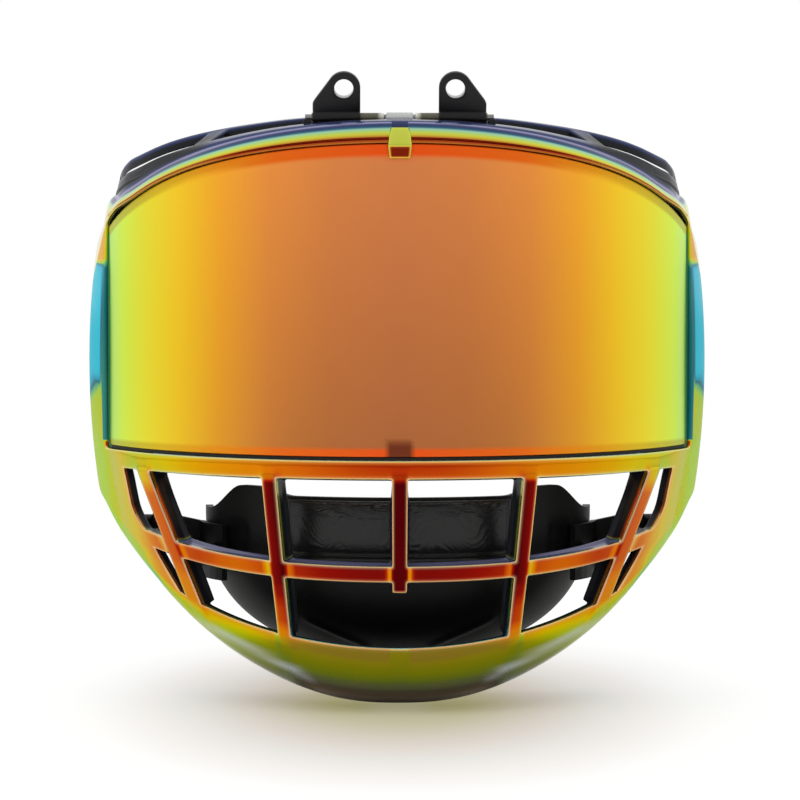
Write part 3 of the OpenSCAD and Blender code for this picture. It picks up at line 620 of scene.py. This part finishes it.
def frame_marks(layers, rows, cols):
    """Tint, own place and depth of the plating at each point of the frame's grid.

    The tint is raised on the lower rail, the chin band, the foot of the middle bar and, within a few mm of an
    upright, the cross bar. It is lowered on the bars. The brow has its own places, from a dark red in its
    groove that is painted shade up to lavender at its top edge, where it is partly a painted highlight, and
    so has the ledge on top of the cross bar. A point is deep once it lies over 1 mm behind the face, or below
    the top of the brow flange."""
    a = angle_at(cols)[None, :]
    r = rows[:, None]
    beside = from_bars(cols)[None, :]
    rail = 0.1 * np.clip((r - 11.9) / 0.1, 0, 1) * (r <= 13) * (1 - smooth((a - 48) / 8))
    band = 0.1 * smooth((7.6 - r) / 2) + 0.25 * smooth((5.2 - r) / 0.8)
    joint = 0.28 * np.exp(-(beside / 1.6) ** 2) * (beside > 0.3)
    tint = rail + band + joint * (r > 7.9) * (r < 9.1)
    depth = np.interp(layers, np.arange(7), [0, 1.5, 3.9, 6.8, 8, 20, 22])[:, None, None]
    # Painted shade: the brow's places dip to the film's dark red in its groove, and rise at the top edge to a
    # lavender that is partly a painted highlight
    brow = np.interp(r, [19, 19.2, 19.28, 19.48, 19.56, 19.66, 19.9, 20.15, 20.4, 20.65, 20.85, 21],
                     [0.08, 0.07, 0.006, 0.006, 0.1, 0.18, 0.29, 0.42, 0.55, 0.68, 0.86, 0.97])
    brow = np.maximum(brow, 0.1 * smooth((a - 22) / 20) + 0.1 * smooth((a - 56) / 8))
    ledge = (abs(r - 9) < 0.01) & (depth > 0.6) & (a < 56)
    place = (r >= 19) * np.where(depth < 1, brow + 0 * depth, 0.8) + 0.95 * ledge + 0 * a
    bars = (0.06 + 0.03 * (a > 10)) * (beside == 0) * (a < 40) * (r > 5.5) * (r < 12)
    stub = 0.14 * (beside == 0) * (a < 3) * (r > 4.3) * (r < 5.3)
    low = smooth((depth - 0.5) / 1.0) * (r < 19.6)
    slot = smooth((a - 36) / 4) * (1 - smooth((a - 60) / 5)) * (r > 20.5) * (depth < 19)
    slot = slot * smooth((depth - 1.4) / 1.2)
    high = smooth((20.99 - r) / 0.1) * smooth((depth - 1) / 1.5) * (r >= 19.6)
    return tint - bars + stub + 0 * depth, place, np.maximum(low + high + 0 * a, slot) * (1 - 0.6 * ledge)


tint, place, deep = (np.concatenate([m[:, :, :0:-1], m], 2) for m in frame_marks(layers, rows, cols))
# The rim mark: where the pale painted highlight runs, along the windows' edges on the face
near = np.pad(cells[0], 1)
count = near[1:, 1:].astype(int) + near[:-1, 1:] + near[1:, :-1] + near[:-1, :-1]
edge = (count > 0) & (count < 4) & (rows > 4.6)[:, None] & (rows < 13.1)[:, None]
rim = edge[None] * (layers < 0.6)[:, None, None]
shell = piece("frame_shell", grid, boundary_faces(cells), "guard", "face_frame",
              {"tint": tint, "place": place, "deep": deep, "rim": rim})
plated(rounded_off(shell))


def box_grid(lo, hi, r):
    """Points of a block with lines at a distance r inside each face, so that subdividing rounds its edges."""
    x, y, z = (np.array([p, p + r, q - r, q]) for p, q in zip(lo, hi))
    return np.stack(np.meshgrid(y, z, x, indexing="ij"), -1)[..., [2, 0, 1]]


def solid_faces(points):
    """The outer faces of a full grid of points."""
    return boundary_faces(np.ones([n - 1 for n in points.shape[:3]], bool))


def lathe(profile, origin, axis, count=40):
    """A profile of distance along the axis and radius, turned round the axis with closed flat ends."""
    axis = np.array(axis, float) / np.linalg.norm(axis)
    one = np.cross(axis, [0, 0, 1.0])
    two = np.cross(axis, one)
    turn = np.linspace(0, 2 * np.pi, count, endpoint=False)
    h, r = np.array(profile, float).T
    points = (np.array(origin, float) + h[:, None, None] * axis
              + r[:, None, None] * (np.cos(turn)[:, None] * one + np.sin(turn)[:, None] * two))
    ids = np.arange(len(h) * count).reshape(len(h), count)
    right = np.roll(ids, -1, 1)
    quads = np.stack([ids[:-1], right[:-1], right[1:], ids[1:]], -1).reshape(-1, 4)
    return points, [quads, ids[:1, ::-1], ids[-1:]]


# The frame's small parts: a bridge where the hinge pins meet, a cradle for each pin's outer end, and a boss
# inside each cheek for an arm's screw
PIN_Y, PIN_Z = -90.5, 189.9
bridge = box_grid([-4.3, PIN_Y - 3, PIN_Z - 3.2], [4.3, PIN_Y + 3, PIN_Z + 1.6], 0.5)
bridge_piece = rounded_off(piece("pin_bridge", bridge, solid_faces(bridge), "guard", "face_frame"), 2)
BOSS_X, BOSS_Y, BOSS_Z = 83.03, -38.0, 54.09
for side, name in ((-1, "left"), (1, "right")):
    first, last = sorted([side * 28.6, side * 31.0])
    cradle = box_grid([first, PIN_Y - 3, PIN_Z - 5.5], [last, PIN_Y + 2.6, PIN_Z - 0.7], 0.4)
    holder = piece(name + "_pin_cradle", cradle, solid_faces(cradle), "guard", "face_frame",
                   {"deep": np.ones(cradle.shape[:3])})
    plated(rounded_off(holder, 2))
    points, faces = lathe([(0, 2.6), (0.4, 3.2), (9, 3.2)], [side * BOSS_X, BOSS_Y, BOSS_Z], [side, 0, 0])
    bare = {"deep": np.ones(points.shape[:2])}
    plated(piece(name + "_arm_boss", points, faces, "guard", "face_frame", bare))

# The lens
# A curved polycarbonate sheet 2.2 mm thick, cut to the opening and set in the frame's rabbet. Its orange
# mirror coating shades to yellow and green as the lens turns away. The shade of the ledge behind it is
# painted on as a more saturated band along the top and lower edges, and that of a tab as a dark brown patch
# low in the middle.
LENS_T = 2.2


def lens_points(layers, rows, cols):
    """The bent sheet: radius less the depth, at an angle, between the lower edge and the falling top edge."""
    a = cols[None, None, :] + 0 * rows[None, :, None] + 0 * layers[:, None, None]
    r = WRAP_R - LENS_INSET - layers[:, None, None] * LENS_T
    z = mix(RAIL_TOP + 1.1, lens_top(np.abs(a)) - 0.05, rows[None, :, None])
    return np.stack([r * sind(a), -r * cosd(a), z], -1)


edge_a = LENS_A - math.degrees(1.1 / WRAP_R)
lens_cols = np.concatenate([[-edge_a, -edge_a + 0.3], np.linspace(-edge_a + 1.2, edge_a - 1.2, 120),
                            [edge_a - 0.3, edge_a]])
lens_rows = np.concatenate([[0, 0.006], np.linspace(0.02, 0.98, 70), [0.994, 1]])
lens_grid = lens_points(np.array([0, 0.2, 0.8, 1.0]), lens_rows, lens_cols)
from_top = lens_top(np.abs(lens_cols))[None, None, :] - 0.3 - lens_grid[..., 2]
from_low = lens_grid[..., 2] - RAIL_TOP - 1.1
across = np.abs(lens_grid[..., 0])
# Painted shade: where the ledge and the tab lie behind the lens
band = 1 - smooth((from_top - 4.2 + 1.6 * smooth(across / 70)) / 0.5)
band += 0.9 * (1 - smooth((from_low - 2.0) / 0.5))
tab = (1 - smooth((across - 3.3) / 0.5)) * (1 - smooth((from_low - 4.6) / 0.5))
lens = piece("mirror_lens", lens_grid, solid_faces(lens_grid), "guard", "lens", {"band": band, "tab": tab})


def surfaced(tree, settings, **links):
    """Joins a principled shader with these settings and sources to the material's output."""
    add(tree, "OutputMaterial", Surface=add(tree, "BsdfPrincipled", settings, **links))


# Mirror coating: a soft orange reflection at the middle, gold and green at the sides, darker low down
LENS_ACROSS = [(0.0, "D07A44"), (0.22, "D47E40"), (0.42, "E28A3A"), (0.58, "F2A424"), (0.72, "F6C818"),
               (0.83, "EEE01C"), (0.92, "DAF62C"), (0.97, "C4F868")]
BAND_ACROSS = [(0.0, "F95100"), (0.40, "F06A00"), (0.62, "E89200"), (0.80, "DCB800"), (0.95, "C0C800")]
mirror, tree, coords = material("orange mirror coating on polycarbonate")
place = add(tree, "SeparateXYZ", in0=coords)
share = scaled(tree, add(tree, "Math", {"operation": "ABSOLUTE"}, in0=place), (0, 0.1))
low = scaled(tree, place.outputs["Z"], (-0.118, -0.02), (0.72, 1.28))
rise = add(tree, "Mix", {"data_type": "FLOAT", 3: 1.06}, in0=scaled(tree, share, (0.35, 0.85)), in2=low)
shaded = add(tree, "VectorMath", {"operation": "SCALE"}, in0=ramp(tree, LENS_ACROSS, share), Scale=rise)
# The painted band and patch: the shade of the ledge and the tab seen through the lens
colour = blended(tree, mark(tree, "band"), shaded, ramp(tree, BAND_ACROSS, share))
haze = add(tree, "TexNoise", {"Scale": 9.0, "Detail": 1.0}, Vector=coords)
surfaced(tree, {"Metallic": 1.0, "Coat Weight": 0.3, "Coat Roughness": 0.12},
         Base_Color=blended(tree, mark(tree, "tab"), colour, "743010"),
         Roughness=scaled(tree, haze, end=(0.30, 0.36)))
lens.data.materials.append(mirror)

# The lens gasket
# A thin extruded bead of black rubber, pressed between the edge of the lens and the frame. It runs along the
# lower edge and up both sides.
GASKET_W, GASKET_T = 1.0, 2.5


def gasket_path():
    """Angles and heights along the lens edge: down one side, along the lower edge and up the other side."""
    down = np.linspace(lens_top(LENS_A) - 1.4, RAIL_TOP + 1.4, 24)
    low = np.linspace(-LENS_A + 0.9, LENS_A - 0.9, 90)
    a = np.concatenate([np.full(24, -LENS_A + 0.3), low, np.full(24, LENS_A - 0.3)])
    return a, np.concatenate([down, np.full(90, RAIL_TOP + 0.55), down[::-1]])


path_a, path_z = gasket_path()
outward = np.stack([sind(path_a), -cosd(path_a), 0 * path_a], -1)
path = outward * (WRAP_R - LENS_INSET - 1.0) + np.stack([0 * path_a, 0 * path_a, path_z], -1)
along = np.gradient(path, axis=0)
along /= np.linalg.norm(along, axis=1)[:, None]
inner = np.cross(outward, along)
bead = np.array([-0.5, -0.3, 0.3, 0.5])
gasket_grid = (path + bead[:, None, None, None] * GASKET_T * outward
               + bead[None, :, None, None] * GASKET_W * inner)
gasket = piece("lens_bead", gasket_grid, solid_faces(gasket_grid), "guard", "lens_gasket")
rounded_off(gasket)

# Black rubber: matt, with a fine dusty grain, and painted green at the sides as light through the edge of the
# lens
rubber, tree, coords = material("black rubber bead")
grain = add(tree, "TexNoise", {"Scale": 900.0, "Detail": 2.0}, Vector=coords)
tone = ramp(tree, [(0.3, "0A0907"), (0.7, "15120D")], grain)
# Painted light: green towards the sides, past about 96 mm out
off = add(tree, "Math", {"operation": "ABSOLUTE"}, in0=add(tree, "SeparateXYZ", in0=coords))
surfaced(tree, {"Roughness": 0.6, "Specular IOR Level": 0.25},
         Base_Color=blended(tree, scaled(tree, off, (0.0962, 0.0972)), tone, "1C6A4C"))
gasket.data.materials.append(rubber)

# The lens latch
# A small moulded catch in the middle of the brow rail, plated like the frame. It slides up in a groove, and
# its bevelled foot hooks over the top of the lens.
latch_z = np.array([176.5, 176.9, 179.2, 179.9, 180.5, 181.2, 183.5, 185.2, 185.8, 186.2])
latch_u = np.array([-1, -0.93, -0.8, 0, 0.8, 0.93, 1])


def latch_points(depths, z, u):
    """The catch: widest near its foot and narrower at the top, its front set back at foot, top and sides."""
    half_w = np.interp(z, [176.5, 180.2, 182, 186.2], [3.5, 4.0, 3.9, 2.9])[None, :, None]
    foot = 1.5 * np.clip((180.2 - z) / 3.7, 0, 1) + 0.9 * np.clip((z - 184.2) / 2, 0, 1)
    sides = np.interp(np.abs(u), [0, 0.8, 0.93, 1], [0, 0, 0.35, 1.0])
    front = -WRAP_R - 2.0 + foot[None, :, None] + sides[None, None, :]
    y = mix(front, -WRAP_R + 0.3, depths[:, None, None])
    return np.stack([half_w * u[None, None, :] + 0 * y, y, z[None, :, None] + 0 * y], -1)


latch_grid = latch_points(np.array([0, 0.2, 0.8, 1]), latch_z, latch_u)
# Painted shade and highlight: the foot's downward bevel takes the film's dark red start as painted shade, and
# the side edges and the line over the foot take a pale painted highlight
on_foot = ((latch_z < 180.3) & (latch_z > 176.8))[:, None] & (np.abs(latch_u) < 0.9)[None, :]
latch_place = np.where(on_foot, 0.006, np.where(np.abs(latch_u) < 0.95, 0.3, 0.38)) + 0 * latch_grid[..., 0]
latch_rim = (np.abs(latch_u) > 0.9) | (np.abs(latch_z - 180) < 0.3)[:, None]
latch_rim = latch_rim & (latch_grid[..., 1] < -WRAP_R - 0.2)
latch = piece("brow_latch", latch_grid, solid_faces(latch_grid), "latch", "lens_latch",
              {"place": latch_place, "rim": 0.3 * latch_rim})
plated(rounded_off(latch, 2))

# The hinge pins and sleeves
# Short steel rods pressed into the brow flange carry the clips. A clear plastic tube slips over each rod and
# spaces the clip from the middle, and its cut end has a painted near white highlight.

# Zinc plated steel: grey and half bright, with fine lines drawn along the rods
steel, tree, coords = material("zinc plated steel")
streak = add(tree, "Mapping", {"Scale": (60.0, 1800.0, 1800.0)}, Vector=coords)
lines = add(tree, "TexNoise", {"Scale": 1.0, "Detail": 3.0}, Vector=streak)
surfaced(tree, {"Metallic": 1.0}, Base_Color=ramp(tree, [(0.3, "6E6E70"), (0.7, "A4A4A2")], lines),
         Roughness=scaled(tree, lines, end=(0.25, 0.45)))

# Clear plastic tube: dark olive as painted shade where the dark slot shows through it, and a painted near
# white highlight at its cut inner end
tube, tree, coords = material("clear plastic tube")
off = add(tree, "Math", {"operation": "ABSOLUTE"}, in0=add(tree, "SeparateXYZ", in0=coords))
tone = ramp(tree, [(0.0, "F0F2EC"), (0.55, "C8C8B8"), (1.0, "5E5C48")], scaled(tree, off, (0.0051, 0.0072)))
surfaced(tree, {"Roughness": 0.18, "Transmission Weight": 0.25}, Base_Color=tone)


def dressed(names, finish):
    """Gives CAD nodes, whose shape is right as it is, a real finish."""
    for name in names:
        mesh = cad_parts[name].data
        mesh.materials.clear()
        mesh.materials.append(finish)


dressed(["left_hinge_pin", "right_hinge_pin", "arm_screws", "arm_washers"], steel)
dressed(["left_pin_sleeve", "right_pin_sleeve"], tube)
bridge_piece.data.materials.append(tube)

# The helmet clips
# Each is a steel strap folded round the sleeve and back on itself, punched for the helmet screw and painted
# black. The punched edge of the hole is left bright.
CLIP_X, CLIP_W, HOLE_UP, HOLE_R, TOP_R, LEAN = 12.6, 15.4, 10.1, 3.05, 5.3, 20.0
STRAP_R, SLEEVE_R, PLATE_T = 2.69, 1.54, 2.3


def clip_edge(turn):
    """Distance from the screw hole to the plate's edge: to the nearest side of its outline along a ray."""
    hole = np.array([CLIP_X + TOP_R, HOLE_UP])
    right, shoulder = CLIP_X + CLIP_W, [hole[0] + TOP_R * sind(50), HOLE_UP + TOP_R * cosd(50)]
    corners = np.array([[CLIP_X, 0], [right, 0], [right, 5.2], shoulder,
                        [hole[0] - 2, HOLE_UP + TOP_R * 0.9], [CLIP_X, HOLE_UP]]) - hole
    ends = np.roll(corners, -1, 0)
    ray = np.stack([np.cos(turn), np.sin(turn)], -1)
    side = ends - corners
    cross = ray[:, None, 0] * side[None, :, 1] - ray[:, None, 1] * side[None, :, 0]
    cross = np.where(np.abs(cross) < 1e-9, 1e-9, cross)
    t = (corners[:, 0] * side[:, 1] - corners[:, 1] * side[:, 0])[None, :] / cross
    u = (corners[None, :, 0] * ray[:, None, 1] - corners[None, :, 1] * ray[:, None, 0]) / cross
    t = np.where((t > 0) & (u > -1e-6) & (u < 1 + 1e-6), t, 1e3).min(1)
    return np.maximum(t, TOP_R * (np.sin(turn) > -0.2))


def ring_faces(count, around):
    """Faces of a grid that closes on itself both ways, like a ring."""
    ids = np.arange(count * around).reshape(count, around)
    return np.stack([ids, np.roll(ids, -1, 1), np.roll(np.roll(ids, -1, 1), -1, 0), np.roll(ids, -1, 0)],
                    -1).reshape(-1, 4)


def leaning(points, side):
    """Moves points from the clip's own plane to the pin: turned forwards by the lean, and to its side."""
    x, y, z = np.moveaxis(points, -1, 0)
    c, s = cosd(LEAN), sind(LEAN)
    return np.stack([side * x, PIN_Y + y * c - z * s, PIN_Z + y * s + z * c], -1)


turn = np.linspace(0, 2 * np.pi, 120, endpoint=False)
reach = clip_edge(turn)
plate_loop = [(0, -0.5), (0.08, -0.5), (0.5, -0.5), (0.93, -0.5), (1, -0.38), (1, 0.38), (0.93, 0.5),
              (0.5, 0.5), (0.08, 0.5), (0, 0.5), (0, 0.4), (0, -0.4)]
share, thick = np.array(plate_loop).T
r = mix(HOLE_R, reach[None, :], share[:, None])
plate = np.stack([CLIP_X + TOP_R + r * np.cos(turn), thick[:, None] * PLATE_T + 0 * r,
                  HOLE_UP + r * np.sin(turn)], -1)
bright = (share < 0.02)[:, None] + 0 * r
wrap_turn = np.linspace(0, 2 * np.pi, 48, endpoint=False)
wrap_loop = np.array([(0, STRAP_R - 0.3), (0.3, STRAP_R), (1.2, STRAP_R), (CLIP_W - 1.2, STRAP_R),
                      (CLIP_W - 0.3, STRAP_R), (CLIP_W, STRAP_R - 0.3), (CLIP_W, SLEEVE_R),
                      (CLIP_W / 2, SLEEVE_R), (0, SLEEVE_R)])
wrap = np.stack([CLIP_X + wrap_loop[:, :1] + 0 * wrap_turn, wrap_loop[:, 1:] * np.cos(wrap_turn),
                 wrap_loop[:, 1:] * np.sin(wrap_turn)], -1)

# Black paint on steel: satin, slightly uneven, with the bare punched edge round the hole
paint, tree, coords = material("black painted steel")
peel = add(tree, "TexNoise", {"Scale": 700.0, "Detail": 2.0}, Vector=coords)
highlight_and_bare_edge = mark(tree, "bright")
surfaced(tree, {"Specular IOR Level": 0.3}, Metallic=highlight_and_bare_edge, Roughness=scaled(tree, peel, end=(0.3, 0.42)),
         Base_Color=ramp(tree, [(0.0, "08080A"), (0.75, "0A0A0C"), (1.0, "B8B8B6")], highlight_and_bare_edge),
         Normal=add(tree, "Bump", {"Strength": 0.15, "Distance": 0.0001}, Height=peel))
for side, name in ((-1, "left"), (1, "right")):
    for part, points, data in (("_clip_plate", plate, {"bright": bright}), ("_clip_fold", wrap, {})):
        obj = piece(name + part, leaning(points, side), ring_faces(*points.shape[:2]), name + "_clip",
                    name + "_helmet_clip", data)
        rounded_off(obj).data.materials.append(paint)

# The chin cup
# A stiff bowl moulded in black plastic, with a raised wing at each side, open at the back and at the foot.
# Two slotted arms of the same plastic carry it, held by rivets with black heads.
CUP_W, CUP_D, CUP_H, CUP_Z, CUP_Y, CUP_T = 65.3, 50.0, 52.0, 60.0, -35.0, 2.5


def cup_points(a, v, off):
    """The bowl: width and depth times the sine and cosine of the angle, shrinking as the bowl turns under.

    The lowest part of v lifts the rim, which rises to a peak on each wing and falls to the wing's end."""
    x = np.abs(CUP_W * sind(a))
    top = CUP_Z + 6.5 + 2.8 * smooth((x - 35) / 12) - 9 * smooth((x - 52) / 12)
    turned = np.maximum(0, v - 0.2) / 0.8 * 75
    lift = np.maximum(0, 0.2 - v) / 0.2
    c = cosd(turned) ** 0.98
    s = sind(turned) ** 0.76
    return np.stack([(CUP_W - off) * sind(a) * c, CUP_Y - (CUP_D - off) * cosd(a) * c,
                     CUP_Z + (top - CUP_Z) * lift - (CUP_H - off) * s], -1)


def lines_between(lo, hi, count, near):
    """Even lines from lo to hi with one more a little inside each end."""
    inside = np.linspace(lo + 3 * near, hi - 3 * near, count)
    return np.concatenate([[lo, lo + near], inside, [hi - near, hi]])


def cup_relief(points):
    """How deep the bowl's moulded shapes lie: a shallow panel on each wing and a crease low on each side."""
    x, z = np.abs(points[..., 0]), points[..., 2]
    panel = smooth((x - 50) / 1) * smooth((57.5 - x) / 1) * smooth((z - 45) / 1) * smooth((56 - z) / 1)
    crease = np.exp(-((z - 15 - (x - 9.7) * 0.47) / 0.9) ** 2) * smooth((x - 8) / 3) * smooth((33 - x) / 4)
    return 1.1 * panel - 0.6 * crease


cup_a = lines_between(-90, 90, 120, 0.5)
cup_v = lines_between(0, 1, 56, 0.006)
off, v, a = np.meshgrid(np.array([0, 0.5, CUP_T - 0.5, CUP_T]), cup_v, cup_a, indexing="ij")
relief = cup_relief(cup_points(a, v, 0 * off))
bowl = cup_points(a, v, off + relief * np.clip(1 - off / CUP_T, 0, 1))
cup = piece("chin_bowl", bowl, solid_faces(bowl), "cup", "chin_cup")

# Moulded black plastic: fine spark grain, low sheen
black, tree, coords = material("grained black plastic")
grain = add(tree, "TexNoise", {"Scale": 1100.0, "Detail": 3.0}, Vector=coords)
surfaced(tree, {"Roughness": 0.5, "Specular IOR Level": 0.18},
         Base_Color=ramp(tree, [(0.3, "060606"), (0.7, "0C0C0D")], grain),
         Normal=add(tree, "Bump", {"Strength": 0.25, "Distance": 0.0001}, Height=grain))
cup.data.materials.append(black)
dressed(["left_cup_arm", "right_cup_arm", "cup_rivets"], black)

# The chin pad
# Thin foam under black vinyl, glued to the front of the bowl. The vinyl is pressed down to a narrow hem along
# its edges, and wrinkled elsewhere.
PAD_T = 3.0


def crown(u, v, power=4):
    """Full in the middle and falling to nothing at the edges, by a power of each distance."""
    return (1 - np.abs(u) ** power) * (1 - np.abs(v) ** power)


def wrinkles(u, v):
    """Fine creases of the vinyl: waves at several slants, each bent by another, strongest near the top."""
    bend = 0.25 * np.sin(5.1 * u + 2.2 * v) + 0.12 * np.sin(11.7 * u - 4.3 * v)
    waves = (np.sin(70 * (0.24 * u + v + bend)) + 0.7 * np.sin(96 * (0.5 * u - v + 1.3 * bend) + 1.7)
             + 0.6 * np.sin(151 * (0.35 * u + 0.8 * v - 0.7 * bend) + 0.4))
    return 0.13 * waves * (0.4 + 0.6 * smooth((0.6 - v) / 1.2))


pad_half = math.degrees(math.asin(36 / CUP_W))
pad_u = lines_between(-1, 1, 190, 0.008)
pad_v = lines_between(-1, 1, 70, 0.02)
depth, v, u = np.meshgrid(np.array([0, 0.25, 0.75, 1.0]), pad_v, pad_u, indexing="ij")
hem = np.exp(-((np.maximum(np.abs(v), 1 - (1 - np.abs(u)) * 3.4) - 0.86) / 0.035) ** 2)
swell = 0.4 + 0.6 * crown(u, v) - 0.12 * hem
off = mix(-0.3 - PAD_T * swell - wrinkles(u, v) * crown(u, v, 8), -0.3, depth)
pad_grid = cup_points(u * pad_half, 0.17 + 0.14 * v, off)
pad = piece("vinyl_pad", pad_grid, solid_faces(pad_grid), "cup", "chin_pad")

# Black vinyl: semi gloss, pebbled finely
vinyl, tree, coords = material("black vinyl")
pebble = add(tree, "TexVoronoi", {"Scale": 900.0}, Vector=coords)
surfaced(tree, {"Roughness": 0.33, "Specular IOR Level": 0.4},
         Base_Color=ramp(tree, [(0.0, "0B0B0B"), (1.0, "121213")], pebble),
         Normal=add(tree, "Bump", {"Strength": 0.2, "Distance": 0.0001}, Height=pebble))
pad.data.materials.append(vinyl)

# The chin liner
# A cushion of closed cell foam, glued inside the bowl where the wearer's chin rests. It is thickest in its
# middle.
LINER_T = 6.0
liner_u = lines_between(-1, 1, 90, 0.012)
liner_v = lines_between(-1, 1, 60, 0.02)
depth, v, u = np.meshgrid(np.array([0, 0.12, 0.88, 1.0]), liner_v, liner_u, indexing="ij")
dimples = 0.12 * np.sin(37 * u + 2 * np.sin(9 * v)) * np.sin(29 * v + 2 * np.sin(7 * u))
off = CUP_T + 0.6 + depth * (LINER_T * (0.3 + 0.7 * crown(u, v)) + dimples * crown(u, v))
liner_grid = cup_points(u * 57, 0.48 + 0.42 * v, off)
liner = piece("foam_liner", liner_grid, solid_faces(liner_grid), "cup", "chin_liner")

# Closed cell foam: dark grey, matt, with small open cells at its skin
foam, tree, coords = material("closed cell foam")
pores = add(tree, "TexVoronoi", {"Scale": 1300.0}, Vector=coords)
surfaced(tree, {"Roughness": 0.85, "Specular IOR Level": 0.2},
         Base_Color=ramp(tree, [(0.0, "161617"), (1.0, "262627")], pores),
         Normal=add(tree, "Bump", {"Strength": 0.4, "Distance": 0.0002}, Height=pores))
liner.data.materials.append(foam)
